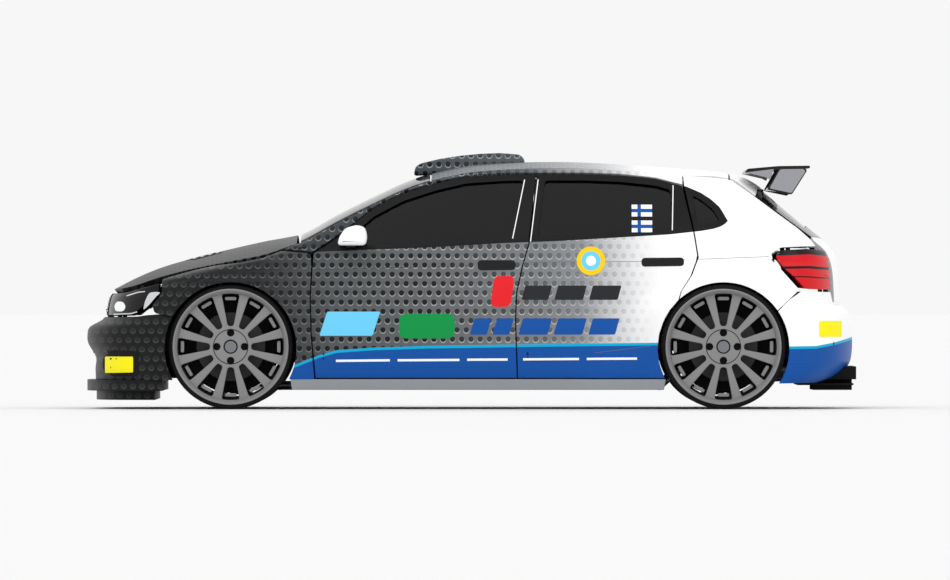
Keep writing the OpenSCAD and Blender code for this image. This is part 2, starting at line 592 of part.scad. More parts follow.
// Post that follows the side's lean, 90 mm inside the skin
module linear_post(x0, x1) {
    zs = [floor_z + floor_t, 480 * kz, 860 * kz, 1115 * kz];
    for (i = [0:2]) let(y0 = post_y(zs[i]), y1 = post_y(zs[i + 1]))
        translate([x0, 0, 0]) rotate([90, 0, 90]) linear_extrude(x1 - x0)
            polygon([[y0, zs[i]], [y0 - 60, zs[i]], [y1 - 60, zs[i + 1]], [y1, zs[i + 1]]]);
}
function post_y(z) = side_y(P(280, 0).x, max(z, 480 * kz)) - 112 * ky;
front_liner_r = tyre_r + 62;
rear_liner_r = arch_r + 10;
liner_t = 6;
module arch_liners() {
    color(black) both_sides() {
        translate([front_axle_x, 0, tyre_r - arch_drop]) rotate([90, 0, 0]) {
            translate([0, 0, -850 * ky]) rotate(26) rotate_extrude(angle = 134, $fn = 60)
                translate([front_liner_r, 0]) square([liner_t, (850 - bay_half) * ky]);
            translate([0, 0, -(bay_half + 6) * ky]) linear_extrude((bay_half + 6 - 400) * ky) difference() {
                circle(front_liner_r + 0.5, $fn = 60);
                translate([-600, -600]) square([1200, 585]);
                translate([345, -600]) square([400, 1200]);
                translate([-80, -20]) square([160, 160]);
            }
        }
        translate([rear_axle_x, 0, tyre_r - arch_drop]) rotate([90, 0, 0]) {
            translate([0, 0, -800 * ky]) rotate_extrude(angle = 180, $fn = 60)
                translate([rear_liner_r, 0]) square([liner_t, 300 * ky]);
            translate([0, 0, -506 * ky]) linear_extrude(46 * ky) difference() {
                circle(rear_liner_r + 0.5, $fn = 60);
                translate([-600, -600]) square([1200, 600]);
                translate([-210, -10]) square([300, 80]);
            }
            translate([-40, rear_liner_r + liner_t / 2, -885 * ky]) cube([80, 24, 100 * ky]);
        }
    }
}
module roll_cage() {
    hoop_x = P(352, 0).x;
    base = floor_z + floor_t;
    top = 1175 * kz;
    color(steel) {
        both_sides() {
            // main hoop leg, front leg and roof bar
            run([[hoop_x, 590 * ky, base], [hoop_x, 600 * ky, 800 * kz], [hoop_x, 470 * ky, top], [hoop_x, 0, top]], cage_r);
            run([[P(-700, 0).x, 610 * ky, base], [P(-690, 0).x, 640 * ky, 780 * kz], [P(-240, 0).x, 500 * ky, 1130 * kz],
                [hoop_x, 470 * ky, top]], cage_r);
            // rear stay and door bars
            tube([hoop_x, 470 * ky, top], [P(1180, 0).x, 380 * ky, 360], cage_r);
            tube([hoop_x, 592 * ky, 300 * kz], [P(-694, 0).x, 632 * ky, 600 * kz], cage_r);
            tube([hoop_x, 596 * ky, 600 * kz], [P(-697, 0).x, 618 * ky, 300 * kz], cage_r);
        }
        tube([P(-240, 0).x, -500 * ky, 1130 * kz], [P(-240, 0).x, 500 * ky, 1130 * kz], cage_r);
        tube([hoop_x, -596 * ky, 700 * kz], [hoop_x, 596 * ky, 700 * kz], cage_r);
    }
}
seat_y = 340;
module seats() {
    base = floor_z + floor_t;
    color([0.12, 0.12, 0.13]) both_sides() translate([P(0, 0).x, seat_y * ky, 0]) {
        // side shells, cushion and back
        for (side = [-1, 1]) translate([0, side * 195 + 20, 0]) rotate([90, 0, 0]) linear_extrude(40)
            polygon([[-260, 300], [-270, 400], [20, 420], [110, 700], [150, 880], [230, 900], [250, 700], [200, 380], [150, 260]]);
        rotate([90, 0, 0]) translate([0, 0, -175]) linear_extrude(350)
            polygon([[-270, 280], [-280, 360], [40, 340], [140, 700], [190, 1000], [250, 1000], [215, 640], [165, 250]]);
        for (side = [-1, 1]) block([-200, side * 150 - 15, base], [150, side * 150 + 15, 300]);
    }
}
module dashboard() {
    color([0.1, 0.1, 0.11]) difference() {
        translate([0, 600 * ky, 0]) rotate([90, 0, 0]) linear_extrude(1200 * ky) polygon(
            pts([[-868, 560], [-868, 770], [-740, 786], [-560, 760], [-530, 700], [-600, 620], [-640, 560]]));
        column_axis() translate([0, 0, -262]) cylinder(r = column_r + running_fit, h = 260);
    }
}
wheel_y = -340;
column_r = 20;
column_rake = 68;
module column_axis() {
    translate([P(-395, 0).x, wheel_y * ky, 730 * kz]) rotate([0, column_rake, 0]) children();
}
module steering_wheel() {
    column_axis() color([0.1, 0.1, 0.1]) {
        rotate_extrude() translate([158, 0]) circle(15);
        difference() {
            cylinder(r = 50, h = 20, center = true);
        }
        for (a = [0, 120, 240]) rotate(a + 60) translate([30, -14, -5]) cube([118, 28, 10]);
        translate([0, 0, -250]) cylinder(r = column_r, h = 250);
    }
}
module engine_block() {
    color(steel) {
        block([P(-1600, 0).x, -320 * ky, 240], [P(-1180, 0).x, 320 * ky, 620 * kz]);
        both_sides() block([P(-1450, 0).x, 320 * ky, 250], [P(-1350, 0).x, 340 * ky, 290]);
    }
}
pipe_z = 118;
pipe_r = 24;
module exhaust() {
    color(steel) {
        run([[P(-1100, 0).x, 0, 240], [P(-1000, 0).x, 0, pipe_z], [P(985, 0).x, 0, pipe_z],
            [P(1085, 0).x, 60, 205], [P(1600, 0).x, 60, 205]], pipe_r);
        for (x = [-600, 300]) block([P(x, 0).x, -10, pipe_z], [P(x, 0).x + 20, 10, floor_z]);
        translate([P(1600, 0).x, 60, 205]) rotate([0, 90, 0]) cylinder(r = 52, h = P(1790, 0).x - P(1600, 0).x);
        translate([P(1780, 0).x, 60, 205]) rotate([0, 90, 0]) difference() {
            cylinder(r = 32, h = P(1850, 0).x - P(1780, 0).x);
            translate([0, 0, 20]) cylinder(r = 28, h = 400);
        }
    }
}

// Tubes between the end beams and the outer panels they carry
bracket_r = 12;
function inward(q, d) = q * (1 - d / norm([q.x, q.y, 0]));
module bracket(from, to) { tube(from, to, bracket_r); }
module brackets() {
    front_x = P(-1868, 0).x;
    rear_x = P(1888, 0).x;
    color(steel) both_sides() {
        bracket([front_x, 200 * ky, 300], inward(nose([8, 300]), 5));
        bracket([front_x, 545 * ky, 300], inward(nose([42, 300]), 5));
        bracket([front_x + 20, 480 * ky, 345], inward(nose([40, 540]), 16));
        bracket([front_x + 20, 150 * ky, 345], inward(nose([6, 520]), 10));
        bracket([rear_x, 300 * ky, 340], inward(tail([12, 340]), 5));
        bracket([rear_x - 20, 590 * ky, 340], inward(tail([50, 340]), 5));
        bracket([rear_x - 20, 520 * ky, 385], inward(tail([46, 700]), 10));
        bracket([P(1700, 0).x, 455 * ky, 355], [P(1640, 0).x, side_y(P(1640, 0).x, 860 * kz) - 10, 860 * kz]);
    }
}

// ---- Lids -------------------------------------------------------------------------------------
lid_t = 30;
lid_pin = 5;
lid_back = 40;
lid_in = 16;
HOOD_REAR = -897;
function hood_front(f) = NOSE_FROM + (-1864 - NOSE_FROM) * pow(1 - pow(abs(f) * 575 / 850, 3), 1 / 3);
function hood_map(s, t) = let(f = 1 - 2 * t) on_top(lerp(hood_front(f) + 0, HOOD_REAR - shut_gap, s), f, 1 + g);
hood_axis = [X(HOOD_REAR - shut_gap) - lid_back, kz * col(SECTIONS, HOOD_REAR - shut_gap - lid_back, TOP) - lid_in];
hood_hinge_y = 200;
GATE_FRONT = 1346;
gate_axis = [X(GATE_FRONT) + g + lid_back, kz * col(SECTIONS, GATE_FRONT + g + lid_back, TOP) - lid_in - 3];
gate_hinge_y = 150;
// End of the upper tail surface for a share f of the half width, and the half widths below it
function gate_turn(f) = 1841 - 69 * pow(abs(f), 2.2);
GATE_W = [[545, 540], [620, 546], [760, 557], [830, 580], [887, 626]];
function tail_at(f, z) =
    let(y = f * (lookup(z, GATE_W) - g - 10), k = pow(1 - pow(min(1, abs(y) / lower_y(1800, z)), 3), 1 / 3))
    [X(TAIL_FROM + (col(TAIL, z, 1) - TAIL_FROM) * k), ky * y, kz * z];
function gate_map(s, t) =
    let(f = 1 - 2 * t, turn = gate_turn(f))
    s < 0.6 ? on_top(lerp(GATE_FRONT + g, turn, s / 0.6), f, g + 10)
    : tail_at(f, lerp(887, 553, (s - 0.6) / 0.4));
module lid_hinge_cuts(axis, y, dir) {
    for (side = [-1, 1]) translate([axis.x, side * y * ky, axis.y]) {
        translate([dir < 0 ? -26 : -100, -20, -90]) cube([126, 40, 90 + lid_pin + 6]);
        rotate([90, 0, 0]) cylinder(r = lid_pin + running_fit, h = 80, center = true);
    }
}
module lid_hinge_fixed(axis, y, drop) {
    for (side = [-1, 1]) translate([axis.x, side * y * ky, axis.y]) {
        rotate([90, 0, 0]) cylinder(r = lid_pin, h = 72, center = true);
        rotate([90, 0, 0]) cylinder(r = lid_pin + 3, h = 30, center = true);
        translate([-8, -15, -drop]) cube([16, 30, drop]);
    }
}
module bonnet() {
    color(black) difference() {
        sheet(function(s, t) hood_map(s, t), 16, 12, 0, lid_t, 0.01, 0.008);
        lid_hinge_cuts(hood_axis, hood_hinge_y, -1);
    }
}
module lid_hinges() {
    color(black) {
        drop = hood_axis.y - 770 * kz;
        lid_hinge_fixed(hood_axis, hood_hinge_y, drop);
        both_sides() block([hood_axis.x - 8, (hood_hinge_y - 15) * ky, 750 * kz], [P(-900, 0).x, (hood_hinge_y + 15) * ky, 770 * kz]);
        drop2 = gate_axis.y - 1108 * kz;
        lid_hinge_fixed(gate_axis, gate_hinge_y, drop2);
        both_sides() block([P(1345, 0).x, (gate_hinge_y - 15) * ky, 1108 * kz], [gate_axis.x + 8, (gate_hinge_y + 15) * ky, 1128 * kz]);
    }
}
REAR_GLASS = [1532, 1752, 0.84];
module gate_window(grow = 0) {
    a = on_top(REAR_GLASS[0], 0); b = on_top(REAR_GLASS[1], 0);
    slope_deg = atan2(a.z - b.z, b.x - a.x);
    y0 = REAR_GLASS[2] * 588 * ky; y1 = REAR_GLASS[2] * 622 * ky;
    translate([a.x, 0, a.z]) rotate([0, slope_deg, 0]) translate([0, 0, -160]) linear_extrude(260)
        polygon([[0, -y0], [norm(b - a), -y1], [norm(b - a), y1], [0, y0]]);
}
module tailgate() {
    color(black) difference() {
        sheet(function(s, t) gate_map(s, t), 15, 12, 0, 34, 0.02, 0.035);
        gate_window();
        lid_hinge_cuts(gate_axis, gate_hinge_y, 1);
    }
}
module tailgate_glass() {
    color(glass) intersection() {
        sheet(function(s, t) on_top(lerp(1505, 1768, s), 0.97 - 1.94 * t, g), 7, 8, 8, 8 + glass_t);
        gate_window();
    }
}
function gate_skin_z(x, y) = let(c = col(SECTIONS, x, TOP)) c - (c - col(SECTIONS, x, EDGE_Z)) * pow(y / col(SECTIONS, x, EDGE_Y), CROWN);
module rear_wing() {
    color(grey) {
        // end plates, blade and pylons
        both_sides() translate([0, 560 * ky, 0]) rotate([90, 0, 0]) linear_extrude(10)
            polygon(pts([[1540, 1139], [1602, 1250], [1736, 1252], [1748, 1238], [1668, 1112]]));
        translate([0, 550 * ky, 0]) rotate([90, 0, 0]) linear_extrude(1100 * ky)
            polygon(pts([[1425, 1232], [1440, 1248], [1600, 1262], [1763, 1264], [1763, 1250], [1600, 1240], [1440, 1226]]));
        translate([0, 550 * ky, 0]) rotate([90, 0, 0]) linear_extrude(1100 * ky)
            polygon(pts([[1545, 1140], [1560, 1156], [1672, 1150], [1676, 1138], [1640, 1132]]));
        both_sides() translate([0, 330 * ky, 0]) rotate([90, 0, 0]) linear_extrude(14) difference() {
            polygon(pts([[1446, 1120], [1470, 1240], [1570, 1245], [1540, 1180], [1515, 1060]]));
            polygon([for (x = [1380:20:1640]) P(x, gate_skin_z(x, 330) - 3), P(1640, 900), P(1380, 900)]);
        }
    }
}
module steering_rack() { color(steel) run([[front_axle_x + 120, -340 * ky, 300], [front_axle_x + 120, 340 * ky, 300]], 22); }

// ---- Suspension and wheels --------------------------------------------------------------------
king_in = 64; // kingpin inside the wheel's centre plane
king_r = 13;
king_y = track_y - king_in;
module at_hub(x, side) {
    translate([x, side * track_y, tyre_r]) rotate([side < 0 ? 90 : -90, 0, 0]) children();
}
arm_z = 112; // kingpin ends above and below the hub
strut_in = 240; // strut inside the kingpin, clear of the steered tyre
strut_x = -62; // and ahead of the drive shaft
module front_suspension() {
    strut_y = king_y - strut_in;
    color(steel) both_sides() {
        translate([front_axle_x, king_y, tyre_r - arm_z]) cylinder(r = king_r, h = 2 * arm_z);
        for (end = [-1, 1]) translate([front_axle_x, king_y, tyre_r + end * arm_z]) sphere(19);
        // strut, upper arm and the two legs of the lower arm
        translate([front_axle_x + strut_x, strut_y, 262]) cylinder(
            r = 25, h = tyre_r + sqrt(pow(front_liner_r, 2) - pow(strut_x - 25, 2)) - arch_drop - 262 - 1.5);
        tube([front_axle_x, king_y, tyre_r + arm_z], [front_axle_x + strut_x, strut_y, tyre_r + arm_z], 16);
        tube([front_axle_x, king_y, tyre_r - arm_z], [front_axle_x - 84, 395 * ky, 268], 16);
        tube([front_axle_x, king_y, tyre_r - arm_z], [front_axle_x + 190, 395 * ky, 268], 14);
    }
}
module knuckle_body() {
    at_hub(front_axle_x, 1) {
        difference() {
            translate([0, 0, -king_in - 26]) rotate([0, 0, 0]) linear_extrude(52) difference() {
                circle(86);
                for (sx = [-1, 1]) translate([sx * 75, 0]) circle(40);
            }
            translate([0, 0, -king_in]) rotate([90, 0, 0]) cylinder(r = king_r + running_fit, h = 400, center = true);
        }
        translate([0, 0, -king_in + 26]) cylinder(r = spindle_r, h = king_in - 26 + 86);
    }
}
module knuckle_left() { color(steel) on(-1) knuckle_body(); }
module knuckle_right() { color(steel) on(1) knuckle_body(); }
module rear_suspension() {
    color(steel) {
        tube([rear_axle_x - 150, -500 * ky, 265], [rear_axle_x - 150, 500 * ky, 265], 34);
        both_sides() {
            tube([rear_axle_x - 150, 490 * ky, 265], [rear_axle_x, track_y - 85, tyre_r], 30);
            at_hub(rear_axle_x, 1) {
                translate([0, 0, -king_in - 26]) cylinder(r = 80, h = 52);
                translate([0, 0, -king_in + 26]) cylinder(r = spindle_r, h = king_in - 26 + 86);
            }
            translate([rear_axle_x - 150, 430 * ky, 265]) cylinder(r = 30, h = 35);
            translate([rear_axle_x + 60, 430 * ky, 360]) cylinder(r = 25, h = 240);
        }
    }
}
module driveline() {
    color(steel) both_sides() {
        tube([front_axle_x, 320 * ky, tyre_r], [front_axle_x, king_y - 66, tyre_r], 14);
        translate([front_axle_x, king_y - 66, tyre_r]) rotate([90, 0, 0]) cylinder(r1 = 22, r2 = 34, h = 46);
    }
}
lug_ring = 72;
module tyre_body() {
    h = tyre_width / 2;
    rotate_extrude($fn = 96) polygon([[rim_r, -h + 8], [rim_r + 8, -h], [tyre_r - 12, -h + 2], [tyre_r - 4, -h + 8],
        [tyre_r, -h + 22], [tyre_r, h - 22], [tyre_r - 4, h - 8], [tyre_r - 12, h - 2], [rim_r + 8, h], [rim_r, h - 8]]);
}
module rim_window() {
    // opening between two spokes, drawn pointing along +x
    k = 12 / spokes;
    r0 = 107 * rim_r / 300; r1 = 277 * rim_r / 300;
    intersection() {
        polygon([[r0, -15 * k], [r1, -48 * k], [r1, 48 * k], [r0, 15 * k]]);
        circle(r1 - 1, $fn = 96);
    }
}
module rim_body() {
    h = tyre_width / 2;
    difference() {
        union() {
            rotate_extrude($fn = 96) polygon([[rim_r - 9, -h + 8], [rim_r, -h + 8], [rim_r, h - 8], [rim_r - 9, h - 8]]);
            translate([0, 0, 60]) cylinder(r = rim_r - 4, h = 26, $fn = 96);
            translate([0, 0, -34]) cylinder(r = 48, h = 96);
            // brake disc and bell
            translate([0, 0, -24]) cylinder(r = disc_r, h = 24, $fn = 72);
        }
        for (i = [0:spokes - 1]) rotate(i * 360 / spokes) translate([0, 0, 40]) linear_extrude(60) rim_window();
        translate([0, 0, -50]) cylinder(r = spindle_r + running_fit, h = 200);
        for (a = [0, 90, 180, 270]) rotate(a) translate([lug_ring, 0, 50]) cylinder(r = 12, h = 60);
    }
}
module tyre_front_left() { color(black) at_hub(front_axle_x, -1) tyre_body(); }
module tyre_front_right() { color(black) at_hub(front_axle_x, 1) tyre_body(); }
module tyre_rear_left() { color(black) at_hub(rear_axle_x, -1) tyre_body(); }
module tyre_rear_right() { color(black) at_hub(rear_axle_x, 1) tyre_body(); }
module rim_front_left() { color(grey) at_hub(front_axle_x, -1) rim_body(); }
module rim_front_right() { color(grey) at_hub(front_axle_x, 1) rim_body(); }
module rim_rear_left() { color(grey) at_hub(rear_axle_x, -1) rim_body(); }
module rim_rear_right() { color(grey) at_hub(rear_axle_x, 1) rim_body(); }

floor_pan();
firewall();
lid_hinges();
door_posts();
roof_rails();
side_skirts();
roof_panel();
windshield();
front_fenders();
front_bumper();
grille();
headlights();
front_splitter();
rear_quarters();
quarter_glasses();
rear_bumper();
taillights();
rear_diffuser();
roof_scoop();
arch_liners();
front_suspension();
rear_suspension();
driveline();
brackets();
engine_block();
exhaust();
roll_cage();
seats();
dashboard();
steering_wheel();
bonnet();
tailgate();
tailgate_glass();
rear_wing();
steering_rack();
front_door_left();
front_door_glass_left();
mirror_left();
front_door_right();
front_door_glass_right();
mirror_right();
rear_door_left();
rear_door_glass_left();
rear_door_right();
rear_door_glass_right();
knuckle_left();
knuckle_right();
tyre_front_left();
rim_front_left();
tyre_front_right();
rim_front_right();
tyre_rear_left();
rim_rear_left();
tyre_rear_right();
rim_rear_right();
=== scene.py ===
# Five-door rally hatchback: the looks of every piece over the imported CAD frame.
# X runs to the rear, Y to the car's right, Z up, origin on the ground at mid-length. Sizes are in mm until
# meshes are made.
import json
import math

import bpy
import bmesh
import numpy as np
from mathutils import Matrix, Vector
from mathutils.geometry import delaunay_2d_cdt


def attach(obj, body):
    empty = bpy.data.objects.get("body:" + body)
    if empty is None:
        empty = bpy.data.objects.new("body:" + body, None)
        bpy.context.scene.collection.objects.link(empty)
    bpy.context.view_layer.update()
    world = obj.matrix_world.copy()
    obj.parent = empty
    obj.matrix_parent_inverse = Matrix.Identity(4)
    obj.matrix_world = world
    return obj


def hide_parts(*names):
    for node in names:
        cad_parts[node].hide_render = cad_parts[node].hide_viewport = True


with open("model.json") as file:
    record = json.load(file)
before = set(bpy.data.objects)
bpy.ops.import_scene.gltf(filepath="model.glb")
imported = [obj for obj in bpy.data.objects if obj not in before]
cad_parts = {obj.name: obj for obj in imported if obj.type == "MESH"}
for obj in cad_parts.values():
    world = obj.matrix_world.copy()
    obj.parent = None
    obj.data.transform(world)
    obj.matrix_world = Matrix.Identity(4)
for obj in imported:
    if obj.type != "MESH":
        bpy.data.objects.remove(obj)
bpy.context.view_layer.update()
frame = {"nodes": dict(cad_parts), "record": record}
NODES = frame["nodes"]

MM = 0.001
BODY_OF = {n: b for b, ns in frame["record"]["behaviour"]["bodies"].items() for n in ns}

# ---- Sizes shared with the CAD ----
FRONT_AXLE, REAR_AXLE = -1245.0, 1308.0
TYRE_R = 323.0
ARCH_R, ARCH_Z = 342.0, 315.0
TRACK_Y = 779.5
GAP = 3.0  # half of a shown shut gap
DOOR_T = 50.0

SECTIONS = np.array([
    # x, centre z, edge z, edge y, belt z, belt y, mid y, low y, roundness above the belt
    [-1870, 617, 614, 560, 610, 850, 872, 850, 2],
    [-1752, 679, 638, 655, 614, 852, 872, 850, 2],
    [-1617, 735, 682, 698, 624, 855, 872, 850, 2],
    [-1464, 780, 722, 708, 658, 855, 872, 848, 2],
    [-1245, 834, 766, 714, 702, 850, 868, 845, 2],
    [-1071, 873, 800, 718, 738, 840, 862, 840, 2],
    [-960, 893, 838, 720, 768, 826, 859, 838, 1.7],
    [-870, 915, 872, 712, 798, 815, 857, 835, 1.35],
    [-697, 1011, 966, 672, 822, 806, 856, 832, 1.15],
    [-504, 1107, 1064, 634, 830, 803, 856, 830, 1.12],
    [-312, 1194, 1150, 608, 836, 801, 856, 830, 1.12],
    [-150, 1241, 1198, 597, 842, 800, 856, 830, 1.12],
    [34, 1273, 1232, 590, 852, 800, 857, 830, 1.12],
    [458, 1287, 1250, 586, 871, 800, 858, 832, 1.12],
    [836, 1270, 1236, 580, 893, 798, 858, 834, 1.12],
    [1075, 1252, 1216, 572, 907, 796, 857, 834, 1.12],
    [1350, 1226, 1198, 562, 916, 792, 856, 835, 1.12],
    [1475, 1180, 1110, 582, 908, 790, 856, 836, 1.12],
    [1625, 1060, 996, 604, 895, 786, 856, 838, 1.12],
    [1772, 935, 888, 626, 880, 782, 856, 840, 1.12],
    [1900, 832, 796, 650, 788, 780, 856, 840, 1.12],
], float)
TOP, EDGE_Z, EDGE_Y, BELT_Z, BELT_Y, MID_Y, LOW_Y, ROUND = range(1, 9)
LOW_Z, MID_Z = 130.0, 480.0
NOSE = np.array([[46, -1940], [90, -1955], [205, -1963], [266, -1960], [341, -2001], [393, -2004],
                 [425, -1992], [468, -1920], [526, -1906], [583, -1892], [617, -1868]], float)
TAIL = np.array([[124, 1780], [159, 1890], [207, 1956], [255, 1984], [374, 1992], [458, 1982], [505, 1968],
                 [540, 1926], [560, 1923], [732, 1917], [816, 1893], [886, 1825]], float)
NOSE_FROM, TAIL_FROM, PLAN_POWER, FLARE, CROWN = -1450.0, 1550.0, 3.0, 42.0, 2.4


def col(t, x, c):
    """Column c of a table at x, as a smooth curve through its rows."""
    x = np.asarray(x, float)
    k = t[:, 0]
    i = np.clip(np.searchsorted(k, x, "right") - 1, 0, len(k) - 2)
    v = t[:, c]
    sec = np.diff(v) / np.diff(k)
    m = np.empty(len(k))
    m[0], m[-1] = sec[0], sec[-1]
    m[1:-1] = (v[2:] - v[:-2]) / (k[2:] - k[:-2])
    h = k[i + 1] - k[i]
    u = np.clip((x - k[i]) / h, 0, 1)
    a, b, ma, mb = v[i], v[i + 1], m[i] * h, m[i + 1] * h
    return a + u * (ma + u * (3 * (b - a) - 2 * ma - mb + u * (2 * (a - b) + ma + mb)))


def ease(t):
    u = np.clip(t, 0, 1)
    return u * u * (3 - 2 * u)


def plan_round(u):
    return np.maximum(0, 1 - np.clip(u, 0, 1) ** PLAN_POWER) ** (1 / PLAN_POWER)


def end_round(x, z):
    front = plan_round((NOSE_FROM - x) / (NOSE_FROM - col(NOSE, z, 1)))
    rear = plan_round((x - TAIL_FROM) / (col(TAIL, z, 1) - TAIL_FROM))
    return np.where(x < NOSE_FROM, front, np.where(x > TAIL_FROM, rear, 1.0))


def flare(x, z):
    front = ease((560 - abs(x + 1245)) / 230) * ease((712 - z) / 50)
    start = np.interp(z, [100, 175, 355, 480, 590, 670, 725, 900],
                      [540, 577, 640, 730, 870, 1010, 1170, 1600])
    rear = ease((x - start) / 210) * ease((775 - z) / 50) * ease((1900 - x) / 300)
    return FLARE * np.maximum(front, rear)


def lower_y(x, z):
    zb = col(SECTIONS, x, BELT_Z)
    return (col(SECTIONS, x, LOW_Y) * (z - MID_Z) * (z - zb) / ((LOW_Z - MID_Z) * (LOW_Z - zb))
            + col(SECTIONS, x, MID_Y) * (z - LOW_Z) * (z - zb) / ((MID_Z - LOW_Z) * (MID_Z - zb))
            + col(SECTIONS, x, BELT_Y) * (z - LOW_Z) * (z - MID_Z) / ((zb - LOW_Z) * (zb - MID_Z))
            + flare(x, z))


def side_y(x, z):
    """Half width of the body at x and z."""
    x, z = np.broadcast_arrays(np.asarray(x, float), np.asarray(z, float))
    zb, ze, ye = (col(SECTIONS, x, c) for c in (BELT_Z, EDGE_Z, EDGE_Y))
    v, p = np.clip((z - zb) / (ze - zb), 0, 1), col(SECTIONS, x, ROUND)
    yb = lower_y(x, zb) * end_round(x, zb)
    upper = ye + (yb - ye) * np.maximum(0, 1 - v ** p) ** (1 / p)
    return np.where(z <= zb, lower_y(x, np.minimum(z, zb)) * end_round(x, z), upper)


def on_top(x, f, g=0.0):
    ye = col(SECTIONS, x, EDGE_Y) - g
    ze, zc = col(SECTIONS, x, EDGE_Z), col(SECTIONS, x, TOP)
    return np.stack([x, f * ye, zc - (zc - ze) * (abs(f) * ye / (ye + g)) ** CROWN], -1)


def on_end(start, profile, a, z):
    r = np.radians(a)
    x = start + (col(profile, z, 1) - start) * np.maximum(0, np.cos(r)) ** (2 / PLAN_POWER)
    y = lower_y(x, z) * np.abs(np.sin(r)) ** (2 / PLAN_POWER) * np.sign(a)
    return np.stack([x, y, z + 0 * x], -1)


def nose(a, z):
    return on_end(NOSE_FROM, NOSE, a, z)


def tail(a, z):
    return on_end(TAIL_FROM, TAIL, a, z)


def end_angle(start, profile, x, z):
    share = np.clip((x - start) / (col(profile, z, 1) - start), 0, 1)
    return np.degrees(np.arccos(share ** (PLAN_POWER / 2)))


def arch_x(direction, axle, z):
    return axle + direction * np.sqrt(np.maximum(1, ARCH_R ** 2 - (z - ARCH_Z) ** 2))


# ---- Curves and patches in the side plane ----
def line(p):
    """Straight segments through points, the same share of t for each."""
    p = np.asarray(p, float)
    k = np.linspace(0, 1, len(p))
    return lambda t: np.stack([np.interp(t, k, p[:, 0]), np.interp(t, k, p[:, 1])], -1)


def path(p):
    """Smooth curve through points."""
    p = np.asarray(p, float)
    n = len(p) - 1

    def at(t):
        u = np.asarray(t, float) * n
        k = np.clip(np.floor(u).astype(int), 0, n - 1)
        u = (u - k)[..., None]
        a, b, c, d = p[np.maximum(k - 1, 0)], p[k], p[k + 1], p[np.minimum(k + 2, n)]
        return b + u / 2 * ((c - a) + u * ((2 * a - 5 * b + 4 * c - d) + u * (3 * b - a - 3 * c + d)))
    return at


def arch(axle, a0, a1, r=ARCH_R):
    def at(t):
        a = np.radians(a0 + (a1 - a0) * np.asarray(t, float))
        return np.stack([axle + r * np.cos(a), ARCH_Z + r * np.sin(a)], -1)
    return at


def coons(B, T, L, R):
    def at(s, t):
        s, t = np.broadcast_arrays(s, t)
        S, U = s[..., None], t[..., None]
        z, o = np.zeros(1), np.ones(1)
        return ((1 - U) * B(s) + U * T(s) + (1 - S) * L(t) + S * R(t)
                - (1 - S) * (1 - U) * B(z) - S * (1 - U) * B(o) - (1 - S) * U * T(z) - S * U * T(o))
    return at


def split(lower, upper, k):
    def at(s, t):
        s, t = np.broadcast_arrays(s, t)
        lo = lower(s, np.clip(t / k, 0, 1))
        hi = upper(s, np.clip((t - k) / (1 - k), 0, 1))
        return np.where((t < k)[..., None], lo, hi)
    return at


def on_side(g, side=1):
    def at(s, t):
        q = g(s, t)
        return np.stack([q[..., 0], side * side_y(q[..., 0], q[..., 1]), q[..., 1]], -1)
    return at


# ---- Meshes ----
def mesh_object(name, verts, faces, mats, mat_index=None, smooth=True):
    me = bpy.data.meshes.new(name)
    me.from_pydata((np.asarray(verts) * MM).tolist(), [], [list(map(int, f)) for f in faces])
    for m in mats:
        me.materials.append(m)
    if mat_index is not None:
        me.polygons.foreach_set("material_index", np.asarray(mat_index, np.int32))
    me.polygons.foreach_set("use_smooth", np.full(len(me.polygons), smooth))
    me.update()
    me.validate()
    o = bpy.data.objects.new(name, me)
    bpy.context.scene.collection.objects.link(o)
    return o


def place(o, node, replaces=True, sharp=35):
    """The piece rides with its node's body and, with replaces, stands for that node."""
    if sharp:
        o.data.set_sharp_from_angle(angle=math.radians(sharp))
    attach(o, BODY_OF[node])
    if replaces:
        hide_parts(node)
    return o


SLOT = {r["node"]: r["material_slot"] for r in frame["record"]["subparts"]}
ROLL = 2.4  # how far a panel's edge rolls under


def steps(n, length, roll):
    """Steps from 0 to 1, with a short one at each end for the rolled edge."""
    if not roll:
        return np.linspace(0, 1, n + 1)
    e = min(roll / max(length, 1), 0.2)
    return np.concatenate([[0, e], np.linspace(e, 1 - e, n + 1)[1:-1], [1 - e, 1]])


def facing(F, s):
    """Positive where the patch faces away from the car at s."""
    a, b, c = (F(np.array([[u]]), np.array([[v]]))[0, 0] for u, v in ((s + 0.01, 0.5), (s, 0.51), (s, 0.5)))
    return np.dot(np.cross(a - c, b - c), c - [np.clip(c[0], -900, 900), 0, 500])


